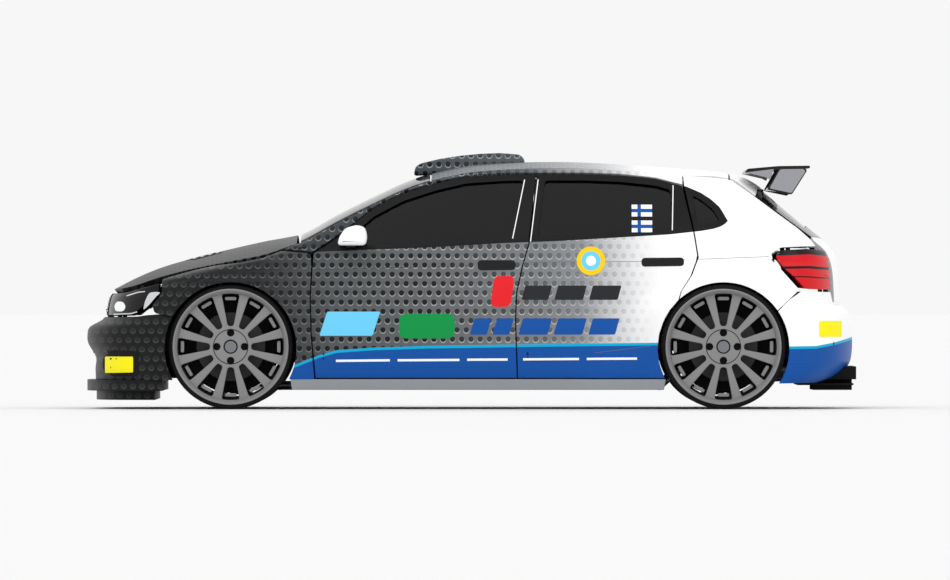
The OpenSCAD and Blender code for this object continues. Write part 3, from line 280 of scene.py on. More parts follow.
def slab(name, F, ns, nt, near, far, mats, pick=None, roll=ROLL, inset=8.0, inside=None):
    """Closed panel under the patch F, with its outer edge rolled under."""
    if sum(np.sign(facing(F, s)) for s in (0.2, 0.5, 0.8)) < 0:
        G, F = F, lambda u, v: G(1 - u, v)
    size = F(np.linspace(0, 1, 9)[:, None], np.linspace(0, 1, 9)[None, :])
    ls = np.linalg.norm(np.diff(size, axis=0), axis=-1).sum(0).mean()
    lt = np.linalg.norm(np.diff(size, axis=1), axis=-1).sum(1).mean()
    s, t = steps(ns, ls, roll * 1.3), steps(nt, lt, roll * 1.3)
    S, T = np.meshgrid(s, t, indexing="ij")

    def normal(A, B):
        e = 1e-3
        n = np.cross(F(np.minimum(1, A + e), B) - F(np.maximum(0, A - e), B),
                     F(A, np.minimum(1, B + e)) - F(A, np.maximum(0, B - e)))
        return n / np.maximum(np.linalg.norm(n, axis=-1, keepdims=True), 1e-9)
    depth = np.full(S.shape, float(near))
    if roll:
        depth[[0, -1], :] += roll
        depth[:, [0, -1]] += roll
    outer = F(S, T) - depth[..., None] * normal(S, T)
    es, et = min(inset / ls, 0.2), min(inset / lt, 0.2)
    Si, Ti = es + (1 - 2 * es) * S, et + (1 - 2 * et) * T
    inner = F(Si, Ti) - far * normal(Si, Ti)
    a, b = S.shape
    idx = np.arange(a * b).reshape(a, b)
    q = np.stack([idx[:-1, :-1], idx[1:, :-1], idx[1:, 1:], idx[:-1, 1:]], -1).reshape(-1, 4)
    w = a * b
    quads = [q, q[:, ::-1] + w]
    loop = np.concatenate([idx[:, 0], idx[-1, 1:], idx[-2::-1, -1], idx[0, -2:0:-1]])
    nxt = np.roll(loop, -1)
    quads.append(np.stack([loop, loop + w, nxt + w, nxt], -1))
    faces = np.concatenate(quads)
    mi = None
    if len(mats) == 2 and pick is None:  # the second material is the inside
        mi = np.concatenate([np.zeros(len(q), int), np.ones(len(q), int), np.zeros(len(loop), int)])
    if pick is not None:
        mid = lambda m: (m[:-1, :-1] + m[1:, 1:]) / 2
        k = pick(mid(S), mid(T)).astype(int).reshape(-1)
        rim_s = np.concatenate([S[:, 0], S[-1, 1:], S[-2::-1, -1], S[0, -2:0:-1]])
        rim_t = np.concatenate([T[:, 0], T[-1, 1:], T[-2::-1, -1], T[0, -2:0:-1]])
        back = k if inside is None else np.full(len(k), inside)
        rim = pick((rim_s + np.roll(rim_s, -1)) / 2, (rim_t + np.roll(rim_t, -1)) / 2).astype(int)
        mi = np.concatenate([k, back, rim])
    return mesh_object(name, np.concatenate([outer.reshape(-1, 3), inner.reshape(-1, 3)]), faces, mats, mi)


def rounded(points, r=18, n=5):
    """Polygon with rounded corners."""
    p = np.asarray(points, float)
    out = []
    for i in range(len(p)):
        a, b, c = p[i - 1], p[i], p[(i + 1) % len(p)]
        u, v = a - b, c - b
        lu, lv = np.linalg.norm(u), np.linalg.norm(v)
        k = min(r, lu * 0.45, lv * 0.45)
        s, e = b + u / lu * k, b + v / lv * k
        for t in np.linspace(0, 1, n):
            out.append((1 - t) ** 2 * s + 2 * t * (1 - t) * b + t * t * e)
    return np.array(out)


def prism(outline, frame_at):
    """Cutter: the outline's prism, between the two sheets that frame_at gives for its points."""
    lo, hi = frame_at(np.asarray(outline, float))
    n = len(lo)
    faces = [list(range(n)), list(range(2 * n - 1, n - 1, -1))]
    faces += [[i, i + n, (i + 1) % n + n, (i + 1) % n] for i in range(n)]
    o = mesh_object("cutter", np.concatenate([lo, hi]), faces, [])
    bm = bmesh.new()
    bm.from_mesh(o.data)
    bmesh.ops.recalc_face_normals(bm, faces=bm.faces)
    bm.to_mesh(o.data)
    bm.free()
    return o


def across(side, y0=300, y1=1200):
    return lambda p: tuple(np.stack([p[:, 0], np.full(len(p), side * y), p[:, 1]], -1) for y in (y0, y1))


def cut(o, *cutters):
    for c in cutters:
        m = o.modifiers.new("cut", "BOOLEAN")
        m.operation, m.solver, m.object = "DIFFERENCE", "EXACT", c
    dg = bpy.context.evaluated_depsgraph_get()
    me = bpy.data.meshes.new_from_object(o.evaluated_get(dg))
    o.modifiers.clear()
    old = o.data
    o.data = me
    bpy.data.meshes.remove(old)
    for c in cutters:
        bpy.data.objects.remove(c)
    return o


def join(name, objs):
    """One piece from several, keeping their materials."""
    bm = bmesh.new()
    mats = []
    for o in objs:
        keep = []
        for m in o.data.materials:
            if m not in mats:
                mats.append(m)
            keep.append(mats.index(m))
        first = len(bm.faces)
        bm.from_mesh(o.data)
        bm.faces.ensure_lookup_table()
        for f in bm.faces[first:]:
            f.material_index = keep[f.material_index] if keep else 0
    me = bpy.data.meshes.new(name)
    bm.to_mesh(me)
    bm.free()
    for m in mats:
        me.materials.append(m)
    for o in objs:
        bpy.data.objects.remove(o)
    o = bpy.data.objects.new(name, me)
    bpy.context.scene.collection.objects.link(o)
    return o


def decal(name, outline, surface, mat, lift=0.5, pitch=25.0):
    """Thin shape on a surface: the outline filled with small faces, then raised by lift."""
    p = np.asarray(outline, float)
    lo, hi = p.min(0), p.max(0)
    runs = [np.linspace(a, b, max(2, int(np.linalg.norm(b - a) / pitch) + 2))[:-1]
            for a, b in zip(p, np.roll(p, -1, 0))]
    p = np.concatenate(runs)
    pts = [Vector(q) for q in p]
    edges = [(i, (i + 1) % len(p)) for i in range(len(p))]
    gx, gz = (np.arange(lo[k] + pitch / 2, hi[k], pitch) for k in (0, 1))
    pts += [Vector((x, z)) for x in gx for z in gz]
    v, _, f, *_ = delaunay_2d_cdt(pts, edges, [list(range(len(p)))], 1, 1e-3)
    q = surface(np.array([[a.x, a.y] for a in v]), lift)
    return mesh_object(name, q, f, [mat])


def side_surface(side=-1):
    """Points of the side's skin, raised by lift along its normal."""
    def at(p, lift):
        x, z = p[:, 0], p[:, 1]
        y = side_y(x, z)
        dx, dz = (side_y(x + 1, z) - side_y(x - 1, z)) / 2, (side_y(x, z + 1) - side_y(x, z - 1)) / 2
        n = np.stack([-dx, np.ones_like(y), -dz], -1)
        n /= np.linalg.norm(n, axis=-1, keepdims=True)
        q = np.stack([x, y, z], -1) + lift * n
        q[:, 1] *= side
        return q
    return at


def revolve(name, profile, centre, axis_sign, mats, n=128, pick=None):
    """Solid of revolution about the wheel's axis: profile is (r, outward), outward away from the car."""
    p = np.asarray(profile, float)
    a = np.linspace(0, 2 * np.pi, n, endpoint=False)
    v = np.stack([centre[0] + np.outer(np.cos(a), p[:, 0]),
                  axis_sign * (TRACK_Y + np.tile(p[:, 1], (n, 1))),
                  centre[1] + np.outer(np.sin(a), p[:, 0])], -1)
    m = len(p)
    idx = np.arange(n * m).reshape(n, m)
    r = np.roll(idx, -1, 0)
    f = np.stack([idx, np.roll(idx, -1, 1), np.roll(r, -1, 1), r], -1).reshape(-1, 4)
    if axis_sign > 0:
        f = f[:, ::-1]
    mi = np.tile(pick, n) if pick is not None else None
    return mesh_object(name, v.reshape(-1, 3), f, mats, mi)


def plate(name, outlines, to_world, thick, bevel, mat, resolution=2):
    """Flat plate with holes, from outlines in its own plane, bevelled."""
    cu = bpy.data.curves.new(name, "CURVE")
    cu.dimensions, cu.fill_mode = "2D", "BOTH"
    cu.extrude, cu.bevel_depth, cu.bevel_resolution = (thick / 2 - bevel) * MM, bevel * MM, resolution
    cu.offset = -bevel * MM
    for p in outlines:
        sp = cu.splines.new("POLY")
        sp.points.add(len(p) - 1)
        co = np.concatenate([np.asarray(p) * MM, np.zeros((len(p), 1)), np.ones((len(p), 1))], 1)
        sp.points.foreach_set("co", co.ravel())
        sp.use_cyclic_u = True
    o = bpy.data.objects.new(name, cu)
    bpy.context.scene.collection.objects.link(o)
    bpy.context.view_layer.update()
    me = bpy.data.meshes.new_from_object(o.evaluated_get(bpy.context.evaluated_depsgraph_get()))
    bpy.data.objects.remove(o)
    bpy.data.curves.remove(cu)
    me.transform(to_world)
    me.materials.clear()
    me.materials.append(mat)
    out = bpy.data.objects.new(name, me)
    bpy.context.scene.collection.objects.link(out)
    return out


def box_at(name, lo, hi, mat, bevel=4.0):
    lo, hi = np.asarray(lo, float) * MM, np.asarray(hi, float) * MM
    bm = bmesh.new()
    bmesh.ops.create_cube(bm, size=1)
    for v in bm.verts:
        v.co = Vector((lo + hi) / 2 + np.array(v.co) * (hi - lo))
    if bevel:
        bmesh.ops.bevel(bm, geom=bm.edges[:], offset=bevel * MM, segments=2, affect="EDGES", profile=0.6)
    me = bpy.data.meshes.new(name)
    bm.to_mesh(me)
    bm.free()
    me.materials.append(mat)
    o = bpy.data.objects.new(name, me)
    bpy.context.scene.collection.objects.link(o)
    return o


def extrude_y(name, outline, y0, y1, mat, bevel=3.0):
    """Plate of an (x, z) outline between two y."""
    to = Matrix(((1, 0, 0, 0), (0, 0, -1, (y0 + y1) / 2 * MM), (0, 1, 0, 0), (0, 0, 0, 1)))
    return plate(name, [outline], to, abs(y1 - y0), min(bevel, abs(y1 - y0) / 2.2), mat)


# ---- Materials ----
def linear(c):
    c = np.asarray(c, float) / 255
    return tuple(np.where(c <= 0.04045, c / 12.92, ((c + 0.055) / 1.055) ** 2.4)) + (1.0,)


def plain(name, rgb, rough=0.5, metal=0.0, coat=0.0, alpha=1.0, spec=0.18):
    m = bpy.data.materials.new(name)
    m.use_nodes = True
    b = m.node_tree.nodes["Principled BSDF"]
    b.inputs["Base Color"].default_value = linear(rgb)
    b.inputs["Roughness"].default_value = rough
    b.inputs["Metallic"].default_value = metal
    b.inputs["Coat Weight"].default_value = coat
    b.inputs["Alpha"].default_value = alpha
    b.inputs["Specular IOR Level"].default_value = spec
    m.diffuse_color = linear(rgb)
    return m


class Tree:
    """Small helper that strings shader nodes together."""

    def __init__(self, mat):
        self.t = mat.node_tree
        self.xyz = self.t.nodes.new("ShaderNodeSeparateXYZ")
        tc = self.t.nodes.new("ShaderNodeTexCoord")
        self.t.links.new(tc.outputs["Object"], self.xyz.inputs[0])
        self.x, self.y, self.z = self.xyz.outputs

    def math(self, op, a, b=None):
        n = self.t.nodes.new("ShaderNodeMath")
        n.operation = op
        for i, v in enumerate((a, b)):
            if v is None:
                continue
            if isinstance(v, (int, float)):
                n.inputs[i].default_value = v
            else:
                self.t.links.new(v, n.inputs[i])
        return n.outputs[0]

    def along(self, stops):
        """Colour or value by distance along the car: stops are (x, rgb 0 to 255) or (x, value)."""
        span = CAR_TO - CAR_FROM
        u = self.math("DIVIDE", self.math("SUBTRACT", self.x, CAR_FROM), span)
        n = self.t.nodes.new("ShaderNodeValToRGB")
        e = n.color_ramp.elements
        while len(e) > 1:
            e.remove(e[-1])
        for i, (p, c) in enumerate(stops):
            k = e[0] if i == 0 else e.new((p - CAR_FROM) / span)
            k.position = (p - CAR_FROM) / span
            k.color = linear(c) if isinstance(c, tuple) else (c, c, c, 1)
        self.t.links.new(u, n.inputs[0])
        return n.outputs[0]

    def mix(self, f, a, b):
        n = self.t.nodes.new("ShaderNodeMix")
        n.data_type = "RGBA"
        for i, v in ((0, f), (6, a), (7, b)):
            if isinstance(v, (int, float)):
                n.inputs[i].default_value = v
            elif isinstance(v, tuple):
                n.inputs[i].default_value = linear(v)
            else:
                self.t.links.new(v, n.inputs[i])
        return n.outputs[2]

    def step(self, v, edge, soft=0.0006):
        """0 below the edge, 1 above it."""
        d = self.math("SUBTRACT", v, edge)
        n = self.math("ADD", self.math("DIVIDE", d, 2 * soft), 0.5)
        return self.math("MINIMUM", self.math("MAXIMUM", n, 0.0), 1.0)


# Paint by distance along the car in m: graphite at the nose to white at the tail
CAR_FROM, CAR_TO = -2.01, 2.01
SIDE_TONES = [(-2.01, (16, 17, 18)), (-1.41, (18, 19, 20)), (-1.10, (32, 33, 35)), (-0.73, (80, 83, 85)),
              (-0.11, (99, 101, 103)), (0.36, (120, 123, 126)), (0.57, (135, 138, 142)),
              (0.88, (231, 231, 232)), (1.09, (254, 254, 254))]
TOP_TONES = [(-2.01, (14, 15, 16)), (-1.1, (20, 21, 22)), (-0.8, (52, 56, 60)), (-0.2, (75, 82, 88)),
             (0.3, (96, 101, 106)), (0.65, (170, 173, 176)), (0.9, (240, 240, 241)), (1.1, (254, 254, 254))]
STRIPE_TOP = [(-1.0, 0.200), (-0.895, 0.236), (-0.785, 0.280), (-0.697, 0.305), (-0.504, 0.319),
              (-0.216, 0.328), (0.458, 0.338), (0.932, 0.344), (1.2, 0.345), (1.5, 0.325), (1.657, 0.325),
              (1.790, 0.327), (1.887, 0.345), (1.970, 0.368), (2.01, 0.38)]
PALE_LINE = 0.014
BELT_LINE = [(-0.85, 0.812), (-0.816, 0.814), (-0.216, 0.838), (0.168, 0.860), (0.458, 0.871),
             (1.028, 0.905), (1.194, 0.923), (1.262, 0.935), (1.300, 0.948), (1.320, 0.962),
             (1.328, 0.975), (1.4, 1.0)]
GLASS_TOP = [(-0.85, 0.80), (-0.816, 0.816), (-0.697, 0.893), (-0.504, 1.047), (-0.350, 1.124),
             (-0.177, 1.177), (-0.023, 1.210), (0.168, 1.222), (0.598, 1.224), (0.777, 1.218),
             (0.956, 1.200), (1.075, 1.170), (1.130, 1.150), (1.194, 1.122), (1.245, 1.089),
             (1.288, 1.050), (1.314, 1.012), (1.328, 0.975), (1.4, 0.95)]
HOLE_PITCH = 0.048
HOLE_R, LIP_R = 14 / 48, 15.6 / 48  # as shares of the pitch
HOLE_FADE = [(-2.0, 0.6), (-1.2, 1.0), (-0.2, 1.0), (0.35, 0.8), (0.72, 0.35), (0.95, 0.0)]
LIP_TONES = [(-2.0, (62, 63, 65)), (-1.0, (88, 90, 92)), (-0.6, (136, 139, 141)), (0.5, (190, 192, 194)),
             (0.95, (250, 250, 250))]


def perforated(t, base, flat):
    """Staggered holes over the base colour, each with a pale lip under it, fading to the rear."""
    calc, up = t.math, t.y if flat else t.z
    row = calc("FLOOR", calc("DIVIDE", up, HOLE_PITCH))
    odd = calc("MULTIPLY", calc("MODULO", calc("ADD", row, 100.0), 2.0), 0.5)
    along = calc("ADD", calc("DIVIDE", t.x, HOLE_PITCH), odd)
    u = calc("SUBTRACT", calc("FRACT", calc("ADD", along, 100.0)), 0.5)
    v = calc("SUBTRACT", calc("FRACT", calc("ADD", calc("DIVIDE", up, HOLE_PITCH), 100.0)), 0.5)

    def disc(shift, radius):
        w = calc("ADD", v, shift)
        r = calc("SQRT", calc("ADD", calc("MULTIPLY", u, u), calc("MULTIPLY", w, w)))
        return calc("SUBTRACT", 1.0, t.step(r, radius, 0.012))
    hole, rim = disc(-0.04, HOLE_R), disc(0.05, LIP_R)
    fade = t.along(HOLE_FADE)
    base = t.mix(calc("MULTIPLY", rim, fade), base, t.along(LIP_TONES))
    return t.mix(calc("MULTIPLY", hole, fade), base, (20, 21, 23))


def striped(t, base):
    """The blue band along the foot, with a pale line over it."""
    top = t.along(STRIPE_TOP)
    below = t.math("SUBTRACT", 1.0, t.step(t.z, top))
    deep = t.math("SUBTRACT", 1.0, t.step(t.math("ADD", t.z, PALE_LINE), top))
    return t.mix(deep, t.mix(below, base, (0, 169, 214)), (9, 80, 161))


def blacked_out(t, base):
    """The window band in black, between the belt line and the top of the glass."""
    belt, roof = (t.along([(p, v / 2) for p, v in rows]) for rows in (BELT_LINE, GLASS_TOP))
    over = t.step(t.z, t.math("MULTIPLY", belt, 2.0))
    under = t.math("SUBTRACT", 1.0, t.step(t.z, t.math("MULTIPLY", roof, 2.0)))
    return t.mix(t.math("MULTIPLY", over, under), base, (8, 8, 9))


def paint(name, tones, holes=True, stripe=True, glasshouse=False, flat=False):
    m = plain(name, (200, 200, 200), 0.45)
    t = Tree(m)
    base = t.along(tones)
    if holes:
        base = perforated(t, base, flat)
    if stripe:
        base = striped(t, base)
    if glasshouse:
        base = blacked_out(t, base)
    t.t.links.new(base, t.t.nodes["Principled BSDF"].inputs["Base Color"])
    return m


tail_paint = paint("tail_paint", SIDE_TONES, holes=False)
top_paint = paint("top_paint", TOP_TONES, stripe=False, flat=True)
rail_paint = paint("rail_paint", TOP_TONES, stripe=False)
black_gloss = plain("black_gloss", (8, 8, 9), 0.15, spec=0.3)
black_satin = plain("black_satin", (14, 14, 15), 0.45)
black_matt = plain("black_matt", (20, 20, 21), 0.8)
glass = plain("window_glass", (4, 4, 5), 0.05, alpha=0.9, spec=0.35)
sill_grey = plain("sill_grey", (146, 150, 154), 0.5)
wing_grey = plain("wing_grey", (148, 149, 154), 0.4)
rim_grey = plain("rim_grey", (134, 134, 135), 0.45)
# dark grey for the wheel barrel's inner faces: painted shade inside the wheel
rim_barrel_shade = plain("rim_barrel_shade", (34, 34, 35), 0.6)
rubber = plain("tyre_rubber", (16, 16, 17), 0.85)
steel = plain("bare_steel", (125, 127, 130), 0.35, 0.9)
iron = plain("disc_iron", (64, 64, 66), 0.5, 0.3)
dark_metal = plain("dark_metal", (45, 46, 48), 0.55, 0.5)
lamp_dark = plain("lamp_dark", (14, 14, 15), 0.2)
lamp_clear = plain("lamp_clear", (196, 200, 204), 0.15, coat=0.8)
lamp_white = plain("lamp_white", (245, 246, 247), 0.2, coat=0.6)
lamp_red = plain("lamp_red", (214, 22, 32), 0.2)
plate_yellow = plain("plate_yellow", (255, 242, 0), 0.5)
white = plain("white_paint", (250, 250, 250), 0.4, coat=0.2)
seat_cloth = plain("seat_cloth", (28, 28, 30), 0.95)
cage_white = plain("cage_paint", (210, 212, 214), 0.4)
cabin_black = plain("cabin_black", (24, 24, 26), 0.9)


# ---- Outlines of the panels, as in the CAD ----
FRONT_SHUT = [[-806, 150], [-817, 247], [-827, 391], [-832, 583], [-824, 737], [-818, 806]]
B_SHUT = [[241, 165], [234, 294], [231, 460], [236, 600], [268, 745], [302, 862]]
DOOR_TOP = [[-818, 806], [-697, 891], [-504, 1045], [-350, 1122], [-177, 1175], [-23, 1208], [168, 1220],
            [342, 1222]]
REAR_TOP = [[342, 1222], [598, 1222], [777, 1216], [956, 1198], [1100, 1160]]
REAR_SHUT = [[1089, 613], [1143, 697], [1177, 786], [1157, 912]]
FRONT_BELT = [[-824, 737], [-697, 812], [-504, 828], [-216, 838], [34, 852], [302, 862]]
REAR_BELT = [[302, 862], [560, 876], [836, 892], [1028, 905], [1157, 912]]
FRONT_WINDOW = [[-672, 852], [-504, 846], [-216, 854], [34, 868], [205, 880], [272, 1186], [168, 1184],
                [-23, 1171], [-177, 1136], [-350, 1080], [-504, 999]]
REAR_WINDOW = [[345, 886], [1030, 922], [1036, 1138], [956, 1160], [777, 1179], [598, 1186], [384, 1186]]
QUARTER_WINDOW = [[1186, 950], [1290, 976], [1256, 1034], [1192, 1086], [1150, 1108]]
HOOD_LINE = [[-1600, 678], [-1512, 704], [-1424, 728], [-1331, 748], [-1200, 764], [-1085, 786], [-985, 824]]


def moved(p, dx=0.0, dz=0.0):
    return np.asarray(p, float) + [dx, dz]


def front_door_map(e=GAP):
    belt = moved(FRONT_BELT)
    belt[0, 0] += e
    belt[-1, 0] -= e
    top = moved(DOOR_TOP, e / 2, -e)
    top[0], top[-1] = np.array(DOOR_TOP[0]) + [e, 0], np.array(DOOR_TOP[-1]) + [-e, -e]
    foot = [[-806 + e, 158 + e], [241 - e, 158 + e]]
    b = path(belt)
    lower = coons(line(foot), b, line([foot[0], *moved(FRONT_SHUT[2:4], e), belt[0]]),
                  line([foot[1], *moved(B_SHUT[2:5], -e), belt[-1]]))
    upper = coons(b, path(top), line([belt[0], top[0]]), line([belt[-1], top[-1]]))
    return split(lower, upper, 0.6)


def rear_door_map(e=GAP):
    belt = moved(REAR_BELT)
    belt[0, 0] += e
    belt[-1, 0] -= e
    top = moved(REAR_TOP, 0, -e)
    top[0, 0] += e
    top[-1, 0] -= e
    edge = arch(REAR_AXLE, 207, 133)
    ends = [edge(np.array(k)) for k in (0, 0.17, 0.35, 0.52, 0.7, 0.85, 1)]
    foot = [[241 + e, 158 + e], ends[0]]
    b = path(belt)
    lower = coons(line(foot), b, line([foot[0], *moved(B_SHUT[2:5], e), belt[0]]),
                  line([*ends, *moved(REAR_SHUT[:3], -e), belt[-1]]))
    upper = coons(b, path(top), line([belt[0], top[0]]), line([belt[-1], top[-1]]))
    return split(lower, upper, 0.6)


def fender_map(e=GAP):
    edge = arch(FRONT_AXLE, 152, -28)
    start, end = edge(np.array(0.0)), edge(np.array(1.0))
    shut = moved([[-824, 737], [-832, 583], [-827, 391], [-817, 260]], -e)
    top = [*moved(HOOD_LINE, 0, -e), [-828 - e, 808], *shut, [-808 - e, end[1]]]
    return coons(edge, line(top), line([start, [-1640, 498], [-1652, 535], [-1602, 600], top[0]]),
                 line([end, top[-1]]))


def quarter_map(e=GAP + 1):
    edge = arch(REAR_AXLE, 131.6, 35)
    start, end = edge(np.array(0.0)), edge(np.array(1.0))
    front = [start, *moved(REAR_SHUT, e), [1104 + e, 1160], [1104, 1211]]
    top = [front[-1], [1230, 1204], [1345, 1193], [1470, 1107], [1600, 1010], [1700, 937], [1766, 878],
           [1792, 846]]
    back = [end, [1702, 618], [1640, 686], [1566, 768], [1556, 806], [1606, 838], [1720, 844], top[-1]]
    return coons(edge, line(top), line(front), line(back))


def rail_map():
    low = moved([[-822, 812], [-697, 893], [-504, 1047], [-350, 1124], [-177, 1177], [-23, 1210], [168, 1223],
                 [342, 1224], [598, 1224], [777, 1218], [956, 1200], [1100, 1164]], -2, 4)
    lx, lz = np.asarray(low).T

    def at(s, t):
        s, t = np.broadcast_arrays(s, t)
        x0 = lx[0] + (lx[-1] - lx[0]) * s
        x1 = x0 + (-968 - lx[0]) * (1 - s) ** 12  # the edge line starts further ahead, at the pillar's foot
        z0, z1 = np.interp(x0, lx, lz), col(SECTIONS, x1, EDGE_Z) - 1
        return np.stack([x0 + (x1 - x0) * t, z0 + (z1 - z0) * t], -1)
    return at


def skirt_map():
    x0, x1 = FRONT_AXLE + 0.93 * ARCH_R, REAR_AXLE - 0.9 * ARCH_R
    return coons(line([[x0, 99], [x1, 99]]), line([[x0 - 8, 154], [x1 + 8, 154]]),
                 line([[x0, 99], [x0 - 8, 154]]), line([[x1, 99], [x1 + 8, 154]]))


def lerp(a, b, t):
    return a + (b - a) * t


def table(rows, x):
    r = np.asarray(rows, float)
    return np.interp(x, r[:, 0], r[:, 1])


def both(name, make):
    return join(name, [make(-1), make(1)])


def tail_at(f, z):
    y = f * (table([[545, 540], [620, 546], [760, 557], [830, 580], [887, 626]], z) - 13)
    k = np.maximum(0, 1 - np.minimum(1, abs(y) / lower_y(1800.0, z)) ** 3) ** (1 / 3)
    return np.stack([TAIL_FROM + (col(TAIL, z, 1) - TAIL_FROM) * k, y, z + 0 * y], -1)


def gate(s, t):
    f = 2 * t - 1 + 0 * s
    turn = 1841 - 69 * abs(f) ** 2.2
    top = on_top(lerp(1349, turn, s / 0.6), f, 13.0)
    drop = lerp(887.0, 554.0, np.clip((s - 0.6) / 0.4, 0, 1)) + 0 * f
    return np.where((s < 0.6)[..., None], top, tail_at(f, drop))


# ---- Painted panels ----
side_skin = paint("body_paint", SIDE_TONES, glasshouse=True)
for side, name in ((-1, "left"), (1, "right")):
    for kind, m, win in (("front", front_door_map(), FRONT_WINDOW), ("rear", rear_door_map(), REAR_WINDOW)):
        node = f"{kind}_door_{name}"
        o = slab(node + "_panel", on_side(m, side), 34, 44, 0, DOOR_T, [side_skin, black_satin])
        cut(o, prism(rounded(win, 20), across(side)))
        place(o, node)


def side_panel(outline, ns, nt, thick, mats, inset):
    """Maker of a panel of the body's side, for either side."""
    return lambda k: slab("p", on_side(outline, k), ns, nt, 0, thick, mats, inset=inset)


def quarter(k):
    o = side_panel(quarter_map(), 30, 40, 20, [side_skin, cabin_black], 9)(k)
    return cut(o, prism(rounded(QUARTER_WINDOW, 12), across(k, 400)))


def top_panel(x0, x1, gap):
    return lambda s, t: on_top(lerp(x0, x1, s) + 0 * t, 2 * t - 1 + 0 * s, gap)


place(both("front_fender_panels", side_panel(fender_map(), 56, 14, 8, [side_skin], 0.5)), "front_fenders")
place(both("rear_quarter_panels", quarter), "rear_quarters")
place(both("roof_rail_panels", side_panel(rail_map(), 70, 6, 34, [rail_paint, cabin_black], 4)), "roof_rails")
roof = slab("roof_skin", top_panel(-206, 1339, GAP), 50, 30, 0, 12, [top_paint, cabin_black], inset=3)
place(roof, "roof_panel")
pane = slab("windshield_pane", top_panel(-884, -214, 6.0), 30, 24, 0, 5, [glass], inset=2, roll=1.2)
place(pane, "windshield", sharp=50)


def hood(s, t):
    f = 2 * t - 1 + 0 * s
    front = NOSE_FROM - 414 * plan_round(abs(f) * 575 / 850)
    return on_top(lerp(front, -905.0, s), f, 4.0)


place(slab("bonnet_panel", hood, 40, 34, 0, 30, [top_paint, black_matt], inset=6), "bonnet")
place(both("sill_strips", side_panel(skirt_map(), 40, 4, 30, [sill_grey], 3)), "side_skirts")


def bumper_front(s, t):
    k = 1 - 2 * s + 0 * t
    zt = table([[0, 477], [40, 477], [60, 478], [70, 488], [76, 490], [84.5, 474], [90, 470]], abs(k) * 84.5)
    z = lerp(150.0, zt, t)
    side_edge = np.minimum(arch_x(-1, FRONT_AXLE, z), NOSE_FROM)
    return nose(k * np.minimum(end_angle(NOSE_FROM, NOSE, side_edge, z), 90), z)


def bumper_rear(s, t):
    k = 2 * s - 1 + 0 * t
    zt = table([[0, 541], [32, 541], [37, 606], [72, 610], [80, 572], [88.3, 507], [90, 506]], abs(k) * 88.3)
    z = lerp(132.0, zt, t)
    side_edge = np.maximum(arch_x(1, REAR_AXLE, z), TAIL_FROM)
    return tail(k * np.minimum(end_angle(TAIL_FROM, TAIL, side_edge, z), 89.5), z)


nose_skin = paint("nose_skin", [(p, (15, 16, 17)) for p in (CAR_FROM, CAR_TO)], stripe=False)
place(slab("front_bumper_skin", bumper_front, 90, 26, 0, 10, [nose_skin], inset=0.5), "front_bumper")
rear_skin = slab("rear_bumper_skin", bumper_rear, 90, 34, 0, 10, [tail_paint], inset=0.5)
place(cut(rear_skin, box_at("c", (1700, -480, 100), (2100, 480, 219), black_satin, 0)), "rear_bumper")
gate_skin = slab("tailgate_panel", gate, 60, 44, 0, 34, [top_paint, cabin_black, black_gloss],
                 pick=lambda s, t: np.where((s > 0.19) & (s < 0.592), 2, 0), inside=1, inset=12)
a, b = on_top(np.array(1532.0), np.array(0.0)), on_top(np.array(1752.0), np.array(0.0))
w0, w1 = 0.84 * 588, 0.84 * 622
shape = rounded([[0, -w0], [np.linalg.norm(b - a), -w1], [np.linalg.norm(b - a), w1], [0, w0]], 40)
u = (b - a) / np.linalg.norm(b - a)
up = np.array([-u[2], 0, u[0]])
at = lambda p, h: a + p[:, :1] * u + p[:, 1:] * [0, 1, 0] + h * up
cut(gate_skin, prism(shape, lambda p: (at(p, -160), at(p, 100))))
place(gate_skin, "tailgate")


# ---- Lamps, grille and glass ----
def end_decal(name, outline, fn, k, mat, lift=0.6, pitch=3.0):
    """Decal on the nose or tail, from an outline in degrees (times 10) and height."""
    def surface(p, h):
        q = fn(k * p[:, 0] / 10, p[:, 1])
        n = np.cross(fn(k * (p[:, 0] / 10 + 0.01), p[:, 1]) - q, fn(k * p[:, 0] / 10, p[:, 1] + 0.1) - q)
        n /= np.maximum(np.linalg.norm(n, axis=-1, keepdims=True), 1e-9)
        n *= np.sign((n * (q - [0, 0, 400])).sum(-1, keepdims=True))
        return q + h * n
    return decal(name, outline, surface, mat, lift, pitch * 8)


def angle_at(start, profile, p):
    """Outline in x and z turned into degrees (times 10) and height."""
    p = np.asarray(p, float)
    return np.stack([10 * end_angle(start, profile, p[:, 0], p[:, 1]), p[:, 1]], -1)


def headlight(k):
    def f(s, t):
        rear = table([[0, 55.5], [0.4, 68.5], [0.75, 75], [1, 75.2]], t)
        a = lerp(21.5, rear, s)
        zt = table([[20, 606], [40, 612], [58, 630], [70, 648], [78.5, 666]], a) - 8
        return nose(k * a, lerp(486.0, zt, t))
    pieces = [slab("h", f, 30, 14, 2, 28, [lamp_dark], inset=3)]
    bits = [([[-1700, 512], [-1668, 540], [-1630, 585], [-1608, 604], [-1628, 608], [-1668, 604],
              [-1690, 560]], lamp_clear),
            ([[-1850, 506], [-1806, 506], [-1792, 530], [-1806, 556], [-1842, 558], [-1856, 536]],
             lamp_white),
            ([[-1790, 590], [-1725, 610], [-1690, 612], [-1690, 607], [-1724, 604], [-1788, 584]],
             lamp_clear),
            ([[-1860, 488], [-1760, 492], [-1730, 502], [-1732, 507], [-1762, 498], [-1860, 494]],
             lamp_clear)]
    for p, m in bits:
        turned = angle_at(NOSE_FROM, NOSE, rounded(p, 14))
        pieces.append(end_decal("d", turned, nose, k, m, -1.4, 1.2))
    return join("h", pieces)


